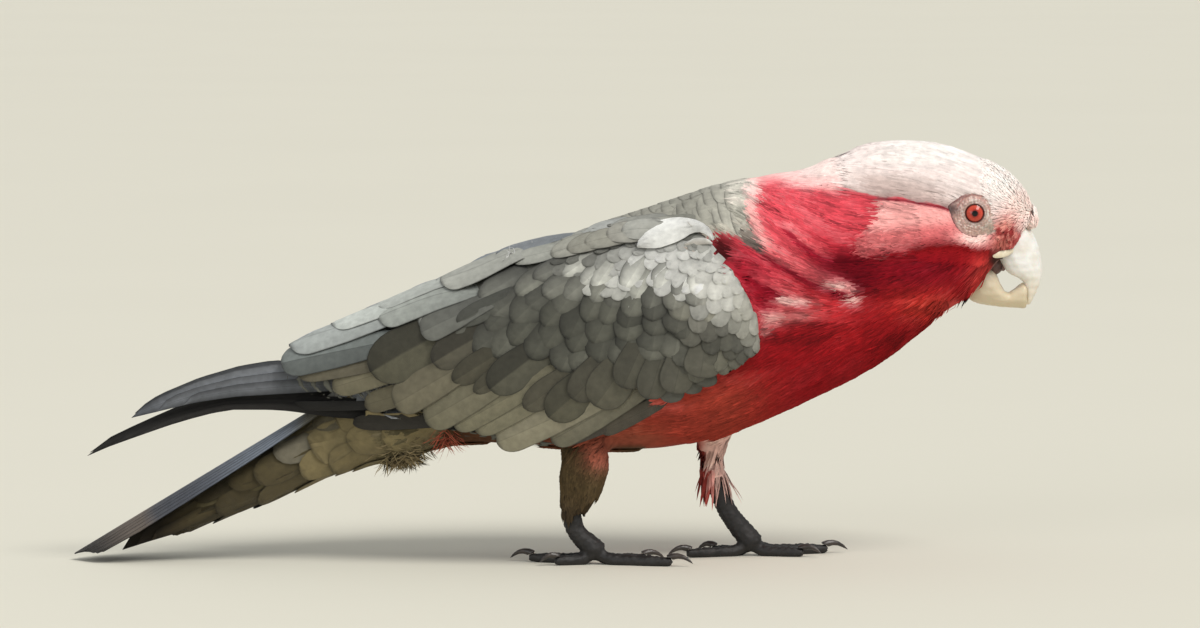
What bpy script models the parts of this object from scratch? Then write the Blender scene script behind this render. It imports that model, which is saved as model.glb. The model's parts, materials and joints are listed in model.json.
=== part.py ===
"""A galah standing with its neck stretched forward, as a life-size still model.

Metres, +Z up. The bird faces +X, its right side is at -Y, and it stands on Z = 0. The origin is
on the floor under the middle of the bird, half way from the bill to the tip of the tail.
Sizes below are in millimetres and pass through MM once, where a mesh is made.
"""
import math

import bmesh
import bpy
import numpy as np
from mathutils import Matrix, Vector
from mathutils.bvhtree import BVHTree

MM = 0.001
GAP = 0.3  # between pieces that meet

# The body, neck and head as ribs from the face to the root of the tail. Each rib joins a point of the
# back line to a point of the keel line and has a half width; lean lifts (+) or drops (-) its widest part.
#             top x   top z  keel x  keel z  half  lean
RIBS = {
    "face": (164.8, 120.4, 142.5, 90.5, 8.5, 0.00),
    "brow": (159.5, 130.4, 137.8, 87.2, 14.0, 0.05),
    "eye": (148.3, 138.4, 131.4, 83.1, 17.6, -0.02),
    "crown": (132.1, 141.8, 123.5, 76.9, 20.6, -0.12),
    "nape": (107.3, 140.0, 113.2, 68.7, 22.6, -0.12),
    "hackle": (88.0, 136.9, 101.1, 61.8, 26.0, -0.06),
    "shoulder": (67.3, 133.4, 83.8, 52.8, 32.0, 0.00),
    "mantle": (47.6, 129.2, 64.9, 43.8, 36.5, 0.04),
    "back": (23.5, 121.2, 42.4, 37.3, 38.0, 0.04),
    "waist": (-4.1, 113.2, 18.3, 35.9, 35.5, 0.04),
    "loin": (-29.0, 101.8, -9.3, 37.6, 30.0, 0.02),
    "rump": (-51.7, 84.5, -35.2, 38.3, 23.0, 0.00),
    "vent": (-68.2, 68.5, -54.2, 33.4, 17.0, 0.00),
    "root": (-89.0, 50.0, -82.0, 33.0, 7.5, 0.00),
}
BODY_RINGS, BODY_SIDES = 34, 22
BODY_FULLNESS = 0.9  # under 1 makes a ring squarer than an ellipse
CUTS = {"neck": 4.05, "trunk": 5.75, "rump": 10.6}  # rib number at which each part begins

# The folded wing seen from the side, bend of the wing first: its upper and lower edges, and the half
# ellipse that it lies on at each place.
#         x   upper  lower  apex  bottom  half width
WING = (
    (69.5, 83.5, 72.5, 134.0, 44.0, 36.5),
    (65.5, 93.5, 68.8, 133.5, 42.5, 38.5),
    (56.0, 107.0, 63.2, 132.0, 40.0, 40.6),
    (46.5, 115.5, 58.8, 129.8, 37.0, 41.6),
    (31.0, 117.6, 50.2, 125.0, 31.0, 42.2),
    (5.0, 113.6, 38.9, 117.0, 26.0, 40.6),
    (-13.0, 108.8, 37.6, 112.0, 26.0, 38.0),
    (-26.0, 103.0, 40.6, 107.2, 28.6, 35.4),
    (-40.0, 95.8, 43.8, 98.6, 32.0, 32.0),
    (-67.0, 85.3, 50.6, 86.8, 40.0, 24.0),
    (-84.0, 77.6, 55.2, 79.5, 46.0, 20.0),
    (-91.5, 72.0, 59.0, 75.5, 50.0, 18.0),
    (-94.0, 67.4, 62.4, 73.0, 52.0, 17.2),
)
WING_THICK = (5.0, 2.6, 1.4)  # over the shoulder, half way, and at the tips of the inner feathers
WING_RINGS, WING_SIDES = 17, 12
WING_RISE = 0.07  # the wing is carried higher where it stands out: mm for each mm of |y|
WING_FULLNESS = 0.86

# Two fingers of long wing feathers leave the folded wing: the grey inner ones and the black outer ones.
#           x    upper  lower  side (distance from the middle plane)
INNER_FINGER = ((-72.0, 70.0, 59.0, 14.5), (-96.6, 67.9, 57.6, 13.2), (-110.0, 65.8, 56.8, 12.2),
                (-124.0, 61.8, 54.8, 11.0), (-138.0, 56.0, 51.4, 10.0), (-146.4, 50.4, 49.4, 9.2))
OUTER_FINGER = ((-56.0, 55.0, 48.5, 15.0), (-76.0, 56.8, 49.5, 12.8), (-95.0, 57.4, 52.2, 11.2),
                (-114.0, 56.4, 52.2, 9.8), (-130.0, 52.8, 48.0, 8.6), (-145.0, 46.3, 42.8, 7.6),
                (-156.0, 41.0, 38.8, 7.1), (-161.8, 37.0, 36.2, 6.8))
FINGER_THICK, FINGER_TIP, FINGER_LEAN = 1.5, 1.2, 0.18
FINGER_RINGS, FINGER_SIDES = 12, 8

# The tail is a roof of feathers. Its ridge runs straight down and back to the tip.
TAIL_RIDGE = ((-67.0, 62.8), (-166.8, 2.4))
TAIL_HALF_WIDTH = (8.0, 11.5, 14.0, 15.2, 15.8, 15.5, 12.5, 4.0)  # from root to tip, evenly spaced
TAIL_DROOP = (1.5, 3.6, 5.4, 6.6, 7.6, 8.2, 7.1, 0.9)  # how far each side hangs below the ridge
TAIL_THICK = (1.7, 0.7)  # at the root, and at the tip
TAIL_RINGS, TAIL_SIDES = 16, 9
#                   x    upper  lower  half width
UNDERTAIL = ((-58.0, 56.0, 34.0, 10.0), (-79.0, 50.0, 28.0, 11.5), (-103.0, 39.0, 18.7, 11.5),
             (-120.0, 28.0, 12.4, 9.0), (-134.0, 18.0, 7.2, 4.0))

# The folded crest on the crown: the line of its top, and its half width.
CREST = ((147.5, 138.2, 3.0), (141.5, 141.7, 6.5), (130.8, 144.6, 9.6), (119.4, 145.2, 10.6),
         (109.5, 144.2, 9.2), (102.8, 142.4, 5.8), (100.4, 140.2, 2.0))
CREST_DEPTH = 12.0
CREST_RINGS, CREST_SIDES = 11, 14

# Bill: culmen and cutting edge of the upper half; cutting edge and keel of the lower half; half width.
UPPER_BILL = (
    (159.5, 116.5, 147.0, 109.0, 7.0),
    (163.2, 114.8, 150.2, 106.6, 7.0),
    (166.3, 107.8, 153.4, 102.2, 6.4),
    (167.2, 101.8, 156.4, 98.8, 5.4),
    (166.9, 97.0, 160.3, 97.2, 4.0),
    (165.0, 92.2, 161.6, 92.8, 2.5),
    (163.0, 88.2, 161.6, 88.6, 1.2),
)
LOWER_BILL = (
    (147.0, 102.0, 138.5, 94.5, 6.2),
    (150.2, 100.9, 142.2, 90.2, 6.6),
    (151.9, 98.2, 146.2, 88.6, 6.2),
    (153.2, 94.9, 150.4, 87.9, 5.6),
    (155.4, 92.5, 154.4, 87.6, 4.9),
    (158.0, 94.2, 157.6, 87.4, 4.3),
    (160.3, 95.6, 160.5, 87.6, 3.7),
)
UPPER_BILL_LEAN, LOWER_BILL_LEAN = -0.35, 0.25  # each half is widest near the gape
BILL_RINGS, BILL_SIDES, BILL_FULLNESS = 11, 12, 0.85
TONGUE = ((146.0, 104.0, 2.1), (150.1, 102.4, 2.1), (154.2, 100.8, 1.15))  # x, z, radius
CERE = ((163.0, 118.6), (2.9, 4.6, 4.4))  # middle and half sizes

EYE_AT = (143.1, 120.9)
EYE_RADIUS = 5.0
EYE_SHOWS = 3.4  # radius of the part that shows

# Legs as (x, y, z, radius) down the leg, and the ball of the foot. The right foot trails the left.
LEGS = {
    "R": {
        "thigh": ((12.0, -15.5, 52.0, 12.0), (9.5, -16.0, 37.0, 9.8),
                  (8.0, -15.5, 25.0, 7.4), (5.0, -15.0, 16.5, 5.0)),
        "shank": ((4.8, -15.0, 18.0, 3.4), (6.6, -14.8, 11.5, 3.3), (12.5, -14.5, 5.4, 4.0)),
    },
    "L": {
        "thigh": ((55.5, 15.0, 52.0, 9.0), (54.2, 15.0, 42.0, 6.8),
                  (53.4, 15.0, 33.0, 5.4), (54.4, 15.0, 25.5, 4.7)),
        "shank": ((54.4, 15.0, 27.0, 3.2), (59.5, 14.8, 15.0, 3.5), (67.0, 14.5, 5.4, 4.0)),
    },
}
# The pad under the foot runs behind and ahead of the ball: step along x, height, radius.
FOOT_PAD = ((-3.4, 5.2, 2.6), (0.0, 5.4, 4.4), (3.4, 4.6, 2.4))
# Toes: heading from straight ahead (+ is away from the body's middle), length and root radius.
TOES = {1: (160.0, 14.0, 2.3), 2: (-15.0, 19.0, 2.4), 3: (16.0, 28.0, 2.5), 4: (-160.0, 23.5, 2.3)}
TOE_TAPER, TOE_SWELL, TOE_JOINTS = 0.22, 0.09, 3  # share lost by the tip, swelling at joints, their number
TOE_DROP = 0.3  # share of a toe's length in which it comes down from the ball of the foot
CLAW_LENGTH = {1: 7.0, 2: 8.0, 3: 9.0, 4: 8.5}
CLAW_ROOT, CLAW_POINT, CLAW_ARCH = 1.53, 0.28, 1.9  # radius at the toe, radius at the point, rise
SOLE = 1.55  # height of a toe's middle line over the floor: under its radius, so the sole is flat


def material(name, colour, roughness):
    made = bpy.data.materials.new(name)
    made.use_nodes = True
    shader = made.node_tree.nodes["Principled BSDF"]
    shader.inputs["Base Color"].default_value = (*colour, 1.0)
    shader.inputs["Roughness"].default_value = roughness
    shader.inputs["Metallic"].default_value = 0.0
    made.diffuse_color = (*colour, 1.0)
    return made


def resample(keys, count):
    """Rows read at even steps from a smooth (Catmull-Rom) curve through the key rows."""
    keys = np.array(keys, float)
    padded = np.vstack([2 * keys[0] - keys[1], keys, 2 * keys[-1] - keys[-2]])
    rows = []
    for s in np.linspace(0, len(keys) - 1, count):
        i = min(int(s), len(keys) - 2)
        rows.append(between(padded[i:i + 4], s - i))
    return np.array(rows)


def between(four, t):
    """The Catmull-Rom curve from the second to the third of four rows, at t from 0 to 1."""
    a, b, c, d = four
    bend = (2 * a - 5 * b + 4 * c - d) * t ** 2 + (3 * b - 3 * c + d - a) * t ** 3
    return 0.5 * (2 * b + (c - a) * t + bend)


def add_object(name, mesh, collection, finish):
    mesh.shade_smooth()
    mesh.materials.append(finish)
    made = bpy.data.objects.new(name, mesh)
    collection.objects.link(made)
    return made


def loft_mesh(name, rings):
    """A closed mesh through rings of points in millimetres, with flat ends."""
    bm = bmesh.new()
    loops = [[bm.verts.new(Vector(p) * MM) for p in ring] for ring in rings]
    for near, far in zip(loops, loops[1:]):
        for k in range(len(near)):
            n = (k + 1) % len(near)
            bm.faces.new((near[k], near[n], far[n], far[k]))
    bm.faces.new(reversed(loops[0]))
    bm.faces.new(loops[-1])
    bmesh.ops.recalc_face_normals(bm, faces=bm.faces)
    mesh = bpy.data.meshes.new(name)
    bm.to_mesh(mesh)
    bm.free()
    return mesh


def oval(top, bottom, half, sides, lean=0.0, fullness=1.0):
    """A ring that joins two points (x, z) of the middle plane and is 2 * half wide."""
    top, bottom = np.array(top), np.array(bottom)
    ring = []
    for a in np.linspace(0, 2 * math.pi, sides, endpoint=False):
        along = math.cos(a) + lean * math.sin(a) ** 2
        across = math.copysign(abs(math.sin(a)) ** fullness, math.sin(a))
        x, z = (top + bottom) / 2 + along * (top - bottom) / 2
        ring.append((x, -half * across, z))
    return ring


def tube_rings(path, sides):
    """Round rings along a path of (x, y, z, radius) rows, square to the path."""
    rings = []
    ahead = np.gradient(path[:, :3], axis=0)
    for (x, y, z, radius), direction in zip(path, ahead):
        turn = Vector(direction).to_track_quat("Z", "Y").to_matrix()
        circle = [turn @ Vector((radius * math.cos(a), radius * math.sin(a), 0))
                  for a in np.linspace(0, 2 * math.pi, sides, endpoint=False)]
        rings.append([Vector((x, y, z)) + p for p in circle])
    return rings


def cut(target, *cutters):
    for cutter in cutters:
        modifier = target.modifiers.new("cut_" + cutter.name, "BOOLEAN")
        modifier.object = cutter
        modifier.operation = "DIFFERENCE"


def clearance(source, cutters, gap=GAP):
    """A hidden copy of a piece, grown by the gap, that cuts room for it in its neighbours."""
    bm = bmesh.new()
    bm.from_mesh(source.data)
    bm.normal_update()
    grown = [vert.co + vert.normal * gap * MM for vert in bm.verts]
    for vert, place in zip(bm.verts, grown):
        vert.co = place
    mesh = bpy.data.meshes.new(source.name + "_room")
    bm.to_mesh(mesh)
    bm.free()
    room = bpy.data.objects.new(source.name + "_room", mesh)
    room.hide_render = True
    room.display_type = "WIRE"
    cutters.objects.link(room)
    return room


def rib_at(number):
    """The body's rib at a rib number, whole or not."""
    keys = np.array(list(RIBS.values()))
    padded = np.vstack([2 * keys[0] - keys[1], keys, 2 * keys[-1] - keys[-2]])
    i = min(int(number), len(keys) - 2)
    return between(padded[i:i + 4], number - i)


def body_mesh():
    rings = [oval((tx, tz), (kx, kz), half, BODY_SIDES, lean, BODY_FULLNESS)
             for tx, tz, kx, kz, half, lean in resample(list(RIBS.values()), BODY_RINGS)]
    return loft_mesh("body", rings)


def slice_of(mesh, start, end, name):
    """The part of a closed mesh between the ribs numbered start and end, with flat cut faces."""
    bm = bmesh.new()
    bm.from_mesh(mesh)
    for number, keeps_behind in ((start, True), (end, False)):
        if number is None:
            continue
        tx, tz, kx, kz, _, _ = rib_at(number)
        facing_face = Vector((tz - kz, 0, kx - tx)).normalized()  # square to the rib, towards the bill
        side = -1 if keeps_behind else 1
        place = Vector((tx, 0, tz)) * MM + facing_face * side * GAP / 2 * MM
        whole = bm.verts[:] + bm.edges[:] + bm.faces[:]
        cut_made = bmesh.ops.bisect_plane(bm, geom=whole, plane_co=place, plane_no=facing_face,
                                          clear_outer=keeps_behind, clear_inner=not keeps_behind)
        rim = [g for g in cut_made["geom_cut"] if isinstance(g, bmesh.types.BMEdge)]
        bmesh.ops.holes_fill(bm, edges=rim)
    bmesh.ops.recalc_face_normals(bm, faces=bm.faces)
    part = bpy.data.meshes.new(name)
    bm.to_mesh(part)
    bm.free()
    return part


def make_body(parts, cutters, finishes):
    whole = body_mesh()
    neck, trunk, rump = CUTS["neck"], CUTS["trunk"], CUTS["rump"]
    spans = {"head": (None, neck), "neck": (neck, trunk), "trunk": (trunk, rump), "rump": (rump, None)}
    colours = {"head": "white", "neck": "rose", "trunk": "rose", "rump": "grey"}
    made = {name: add_object(name, slice_of(whole, *span, name), parts, finishes[colours[name] + "_plumage"])
            for name, span in spans.items()}
    shape = bpy.data.objects.new("body", whole)
    made["whole_room"] = clearance(shape, cutters)
    made["tree"] = BVHTree.FromPolygons([v.co[:] for v in whole.vertices],
                                        [p.vertices[:] for p in whole.polygons])
    bpy.data.objects.remove(shape)
    return made


def make_crest(parts, finishes, body_room):
    rings = [oval((x, z), (x, z - 2 * CREST_DEPTH), half, CREST_SIDES)
             for x, z, half in resample(CREST, CREST_RINGS)]
    crest = add_object("crest", loft_mesh("crest", rings), parts, finishes["white_plumage"])
    cut(crest, body_room)
    return crest


def make_bill(parts, cutters, finishes, body):
    halves = {}
    for name, keys, lean in (("bill_upper", UPPER_BILL, UPPER_BILL_LEAN),
                             ("bill_lower", LOWER_BILL, LOWER_BILL_LEAN)):
        rings = [oval((tx, tz), (bx, bz), half, BILL_SIDES, lean, BILL_FULLNESS)
                 for tx, tz, bx, bz, half in resample(keys, BILL_RINGS)]
        halves[name] = add_object(name, loft_mesh(name, rings), parts, finishes["bill"])
    rooms = {name: clearance(half, cutters) for name, half in halves.items()}
    cut(body["head"], *rooms.values())

    path = resample([(x, 0, z, radius) for x, z, radius in TONGUE], 7)
    tongue_mesh = loft_mesh("tongue", tube_rings(path, BILL_SIDES))
    tongue = add_object("tongue", tongue_mesh, parts, finishes["tongue"])
    cut(tongue, body["whole_room"], *rooms.values())

    (x, z), half_sizes = CERE
    bm = bmesh.new()
    place = Matrix.Translation(Vector((x, 0, z)) * MM) @ Matrix.Diagonal((*(h * MM for h in half_sizes), 1.0))
    bmesh.ops.create_uvsphere(bm, u_segments=12, v_segments=8, radius=1.0, matrix=place)
    mesh = bpy.data.meshes.new("cere")
    bm.to_mesh(mesh)
    bm.free()
    cere = add_object("cere", mesh, parts, finishes["cere"])
    cut(cere, body["whole_room"], rooms["bill_upper"])


def make_eyes(parts, cutters, finishes, body):
    x, z = EYE_AT
    hit, _, _, _ = body["tree"].ray_cast(Vector((x, -100, z)) * MM, Vector((0, 1, 0)))
    depth = math.sqrt(EYE_RADIUS ** 2 - EYE_SHOWS ** 2)
    side = -hit.y / MM - depth
    for name, sign in (("eye_R", -1), ("eye_L", 1)):
        bm = bmesh.new()
        place = Matrix.Translation(Vector((x, sign * side, z)) * MM) @ Matrix.Rotation(math.pi / 2, 4, "X")
        bmesh.ops.create_uvsphere(bm, u_segments=14, v_segments=8, radius=EYE_RADIUS * MM, matrix=place)
        mesh = bpy.data.meshes.new(name)
        bm.to_mesh(mesh)
        bm.free()
        eye = add_object(name, mesh, parts, finishes["eye"])
        cut(body["head"], clearance(eye, cutters))


def wing_rings(sign):
    """Rings round the folded wing: down its outer face, then back up its inner face."""
    rings = []
    stations = resample(WING, WING_RINGS)
    for step, (x, upper, lower, apex, bottom, half) in enumerate(stations):
        thick = np.interp(step / (WING_RINGS - 1), (0, 0.55, 1), WING_THICK)
        middle, tall = (apex + bottom) / 2, (apex - bottom) / 2
        first, last = (math.acos(max(-1.0, min(1.0, (z - middle) / tall))) for z in (upper, lower))
        angles = np.linspace(first, last, WING_SIDES // 2)
        outer, inner = ([(x, sign * (half - depth) * math.sin(a) ** WING_FULLNESS,
                          middle + (tall - depth) * math.cos(a)) for a in angles] for depth in (0, thick))
        inner[0] = (x, inner[0][1], min(inner[0][2], outer[0][2] - 0.4 * thick))
        rises = [WING_RISE * abs(y) for _, y, _ in outer]
        outer, inner = ([(x, y, z + rise) for (x, y, z), rise in zip(face, rises)] for face in (outer, inner))
        rings.append(outer + inner[::-1])
    return rings


def finger_mesh(name, keys, sign):
    """A thin blade of stacked feathers, whose upper edge leans towards the middle plane."""
    rings = []
    for x, upper, lower, side in resample(keys, FINGER_RINGS):
        tall = max(upper - lower, FINGER_TIP)
        thick = min(FINGER_THICK, tall)
        ring = []
        for a in np.linspace(0, 2 * math.pi, FINGER_SIDES, endpoint=False):
            z = (upper + lower) / 2 + tall / 2 * math.cos(a)
            y = side - FINGER_LEAN * (z - lower) + thick / 2 * math.sin(a)
            ring.append((x, sign * y, z + WING_RISE * abs(y)))
        rings.append(ring)
    return loft_mesh(name, rings)


def make_wings(parts, cutters, finishes, body, tail_room):
    for letter, sign in (("R", -1), ("L", 1)):
        wing_mesh = loft_mesh("wing", wing_rings(sign))
        wing = add_object("wing_" + letter, wing_mesh, parts, finishes["grey_plumage"])
        cut(wing, body["whole_room"])
        for name, keys in (("inner_primaries_", INNER_FINGER), ("outer_primaries_", OUTER_FINGER)):
            blade = add_object(name + letter, finger_mesh(name, keys, sign), parts, finishes["dark_feather"])
            cut(blade, body["whole_room"], tail_room)
            cut(wing, clearance(blade, cutters))


def make_tail(parts, cutters, finishes, body):
    (x0, z0), (x1, z1) = TAIL_RIDGE
    down_tail = Vector((x1 - x0, 0, z1 - z0)).normalized()
    below = Vector((down_tail.z, 0, -down_tail.x))  # square to the ridge, downwards
    below = below if below.z < 0 else -below
    profile = resample(list(zip(TAIL_HALF_WIDTH, TAIL_DROOP)), TAIL_RINGS)
    rings = []
    for t, (half, droop) in zip(np.linspace(0, 1, len(profile)), profile):
        ridge = Vector((x0 + t * (x1 - x0), 0, z0 + t * (z1 - z0)))
        across = np.linspace(-1, 1, TAIL_SIDES)
        top = [ridge + Vector((0, half * s, 0)) + below * droop * s * s for s in across]
        thick = TAIL_THICK[0] + t * (TAIL_THICK[1] - TAIL_THICK[0])
        under = [p + below * thick for p in top]
        rings.append(top + under[::-1])
    tail = add_object("tail", loft_mesh("tail", rings), parts, finishes["dark_feather"])
    cut(tail, body["whole_room"])

    rings = [oval((x, upper), (x, lower), half, 14) for x, upper, lower, half in resample(UNDERTAIL, 12)]
    undertail = add_object("undertail", loft_mesh("undertail", rings), parts, finishes["grey_plumage"])
    tail_room = clearance(tail, cutters)
    cut(undertail, body["whole_room"], tail_room)
    return tail_room


def toe_path(ball, heading, length, root):
    """A toe's (x, y, z, radius) rows, from the ball of the foot down to the floor and along it."""
    ahead = Vector((math.cos(heading), math.sin(heading), 0))
    rows = []
    for t in np.linspace(0, 1, 8):
        place = Vector(ball) + ahead * length * t
        still_up = (1 - min(1.0, t / TOE_DROP)) ** 2
        swell = 1 + TOE_SWELL * math.cos(2 * math.pi * TOE_JOINTS * t)
        rounded_end = 0.72 if t == 1 else 1
        radius = root * (1 - TOE_TAPER * t) * swell * rounded_end
        rows.append((place.x, place.y, SOLE + (ball[2] - SOLE) * still_up, radius))
    return np.array(rows)


def claw_path(toe_end, heading, length):
    """A claw's rows: up out of the toe, over, and down until its point nearly meets the floor."""
    ahead = Vector((math.cos(heading), math.sin(heading), 0))
    rows = []
    for t in np.linspace(0, 1, 6):
        place = Vector(toe_end[:3]) + ahead * (length * t - 1.4)
        height = SOLE + 0.5 + CLAW_ARCH * math.sin(math.pi * (0.12 + 0.80 * t)) - 1.35 * t * t
        rows.append((place.x, place.y, height, (CLAW_ROOT - CLAW_POINT) * (1 - t) ** 0.75 + CLAW_POINT))
    return np.array(rows)


def above_floor(mesh):
    """Cuts off what is under Z = 0, which leaves the flat soles."""
    bm = bmesh.new()
    bm.from_mesh(mesh)
    whole = bm.verts[:] + bm.edges[:] + bm.faces[:]
    made = bmesh.ops.bisect_plane(bm, geom=whole, plane_co=(0, 0, 0), plane_no=(0, 0, 1), clear_inner=True)
    rim = [g for g in made["geom_cut"] if isinstance(g, bmesh.types.BMEdge)]
    bmesh.ops.holes_fill(bm, edges=rim)
    bmesh.ops.recalc_face_normals(bm, faces=bm.faces)
    bm.to_mesh(mesh)
    bm.free()


def make_legs(parts, cutters, finishes, body):
    for letter, leg in LEGS.items():
        sign = -1 if letter == "R" else 1
        shank = resample(leg["shank"], 8)
        foot_mesh = loft_mesh("foot", tube_rings(shank, 10))
        foot = add_object("foot_" + letter, foot_mesh, parts, finishes["foot_skin"])
        ball = leg["shank"][-1][:3]
        pad_path = [(ball[0] + ahead, ball[1], z, radius) for ahead, z, radius in FOOT_PAD]
        joined = [loft_mesh("pad", tube_rings(resample(pad_path, 5), 8))]
        claws = []
        for toe, (degrees, length, root) in TOES.items():
            heading = math.radians(degrees) * sign
            path = toe_path(ball, heading, length, root)
            mesh = loft_mesh("toe", tube_rings(path, 8))
            above_floor(mesh)
            joined.append(mesh)
            claw_rings = tube_rings(claw_path(path[-1], heading, CLAW_LENGTH[toe]), 6)
            claws.append((toe, loft_mesh("claw", claw_rings)))
        for mesh in joined:
            piece = bpy.data.objects.new("foot_piece", mesh)
            piece.hide_render = True
            cutters.objects.link(piece)
            union = foot.modifiers.new("join", "BOOLEAN")
            union.operation = "UNION"
            union.object = piece
        solid_foot = evaluated_copy(foot)
        foot.modifiers.clear()
        foot.data = solid_foot
        room = clearance(foot, cutters)
        for toe, mesh in claws:
            claw = add_object(f"claw_{letter}_{toe}", mesh, parts, finishes["claw"])
            cut(claw, room)
        thigh = add_object("thigh_" + letter, loft_mesh("thigh", tube_rings(resample(leg["thigh"], 8), 14)),
                           parts, finishes["grey_plumage"])
        cut(thigh, body["whole_room"], room)


def evaluated_copy(piece):
    """The piece's mesh as its modifiers leave it."""
    bpy.context.view_layer.update()
    graph = bpy.context.evaluated_depsgraph_get()
    return bpy.data.meshes.new_from_object(piece.evaluated_get(graph))


def main():
    for old in list(bpy.data.objects):
        bpy.data.objects.remove(old)
    parts = bpy.data.collections.new("galah")
    cutters = bpy.data.collections.new("cutters")
    for collection in (parts, cutters):
        bpy.context.scene.collection.children.link(collection)
    finishes = {
        "white_plumage": material("white_plumage", (0.86, 0.74, 0.70), 0.85),
        "rose_plumage": material("rose_plumage", (0.62, 0.07, 0.09), 0.85),
        "grey_plumage": material("grey_plumage", (0.30, 0.30, 0.27), 0.75),
        "dark_feather": material("dark_feather", (0.06, 0.065, 0.07), 0.55),
        "bill": material("bill", (0.80, 0.77, 0.68), 0.35),
        "cere": material("cere", (0.80, 0.62, 0.57), 0.6),
        "tongue": material("tongue", (0.22, 0.10, 0.09), 0.4),
        "eye": material("eye", (0.42, 0.07, 0.05), 0.05),
        "foot_skin": material("foot_skin", (0.20, 0.17, 0.16), 0.6),
        "claw": material("claw", (0.03, 0.028, 0.026), 0.35),
    }
    body = make_body(parts, cutters, finishes)
    make_crest(parts, finishes, body["whole_room"])
    make_bill(parts, cutters, finishes, body)
    make_eyes(parts, cutters, finishes, body)
    tail_room = make_tail(parts, cutters, finishes, body)
    make_wings(parts, cutters, finishes, body, tail_room)
    make_legs(parts, cutters, finishes, body)


main()
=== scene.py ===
"""Looks for the galah: skin, plumage, wing and tail feathers, bill, eyes and feet, in the frame's metres.

+X is towards the bill, the bird's right side is at -Y, and it stands on Z = 0. Sizes that are
written in millimetres pass through MM.
"""

import json
import math

import bpy
import numpy as np
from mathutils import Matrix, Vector, noise
from mathutils.bvhtree import BVHTree

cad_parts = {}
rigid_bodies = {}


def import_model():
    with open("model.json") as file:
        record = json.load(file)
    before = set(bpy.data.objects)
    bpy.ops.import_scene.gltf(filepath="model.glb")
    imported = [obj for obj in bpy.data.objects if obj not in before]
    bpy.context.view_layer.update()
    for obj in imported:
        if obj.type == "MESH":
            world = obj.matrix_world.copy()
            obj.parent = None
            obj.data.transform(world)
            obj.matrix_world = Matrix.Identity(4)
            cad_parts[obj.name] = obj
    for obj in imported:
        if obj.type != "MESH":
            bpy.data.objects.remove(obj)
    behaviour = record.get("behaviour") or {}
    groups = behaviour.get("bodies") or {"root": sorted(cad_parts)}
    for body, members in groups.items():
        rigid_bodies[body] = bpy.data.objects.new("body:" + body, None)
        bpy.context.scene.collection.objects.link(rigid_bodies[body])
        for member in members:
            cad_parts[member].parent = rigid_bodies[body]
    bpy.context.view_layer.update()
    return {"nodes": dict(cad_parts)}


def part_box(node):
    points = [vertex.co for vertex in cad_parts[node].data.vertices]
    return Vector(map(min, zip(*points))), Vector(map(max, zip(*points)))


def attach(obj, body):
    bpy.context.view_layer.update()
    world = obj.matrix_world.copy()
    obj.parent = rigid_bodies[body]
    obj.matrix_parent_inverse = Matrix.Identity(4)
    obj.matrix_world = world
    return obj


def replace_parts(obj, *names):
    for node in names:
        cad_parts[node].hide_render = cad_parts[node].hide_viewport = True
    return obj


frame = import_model()

MM = 0.001
RNG = np.random.default_rng(7)
SIDES = ((-1, "R"), (1, "L"))

# Ribs of the body from the face to the root of the tail: back line x, z and keel line x, z.
SPINE = np.array(((164.8, 120.4, 142.5, 90.5), (159.5, 130.4, 137.8, 87.2), (148.3, 138.4, 131.4, 83.1),
                  (132.1, 141.8, 123.5, 76.9), (107.3, 140.0, 113.2, 68.7), (88.0, 136.9, 101.1, 61.8),
                  (67.3, 133.4, 83.8, 52.8), (47.6, 129.2, 64.9, 43.8), (23.5, 121.2, 42.4, 37.3),
                  (-4.1, 113.2, 18.3, 35.9), (-29.0, 101.8, -9.3, 37.6), (-51.7, 84.5, -35.2, 38.3),
                  (-68.2, 68.5, -54.2, 33.4), (-89.0, 50.0, -82.0, 33.0)))

# The folded wing from the rear to the bend: x, upper and lower edge, and the half ellipse it lies on.
WING = np.array((
    (-94.0, 67.4, 62.4, 73.0, 52.0, 17.2),
    (-91.5, 72.0, 59.0, 75.5, 50.0, 18.0),
    (-84.0, 77.6, 55.2, 79.5, 46.0, 20.0),
    (-67.0, 85.3, 50.6, 86.8, 40.0, 24.0),
    (-40.0, 95.8, 43.8, 98.6, 32.0, 32.0),
    (-26.0, 103.0, 40.6, 107.2, 28.6, 35.4),
    (-13.0, 108.8, 37.6, 112.0, 26.0, 38.0),
    (5.0, 113.6, 38.9, 117.0, 26.0, 40.6),
    (31.0, 117.6, 50.2, 125.0, 31.0, 42.2),
    (46.5, 115.5, 58.8, 129.8, 37.0, 41.6),
    (56.0, 107.0, 63.2, 132.0, 40.0, 40.6),
    (65.5, 93.5, 68.8, 133.5, 42.5, 38.5),
    (69.5, 83.5, 72.5, 134.0, 44.0, 36.5)))
WING_FULLNESS = 0.86

# The tables give places as they show from 2.5 m away and a little above the bird.
SEEN_FROM, SEEN_FALL, SEEN_MIDDLE = 2500.0, 0.07, 14.8  # mm, mm lower for each mm off the middle plane, mm

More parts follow.
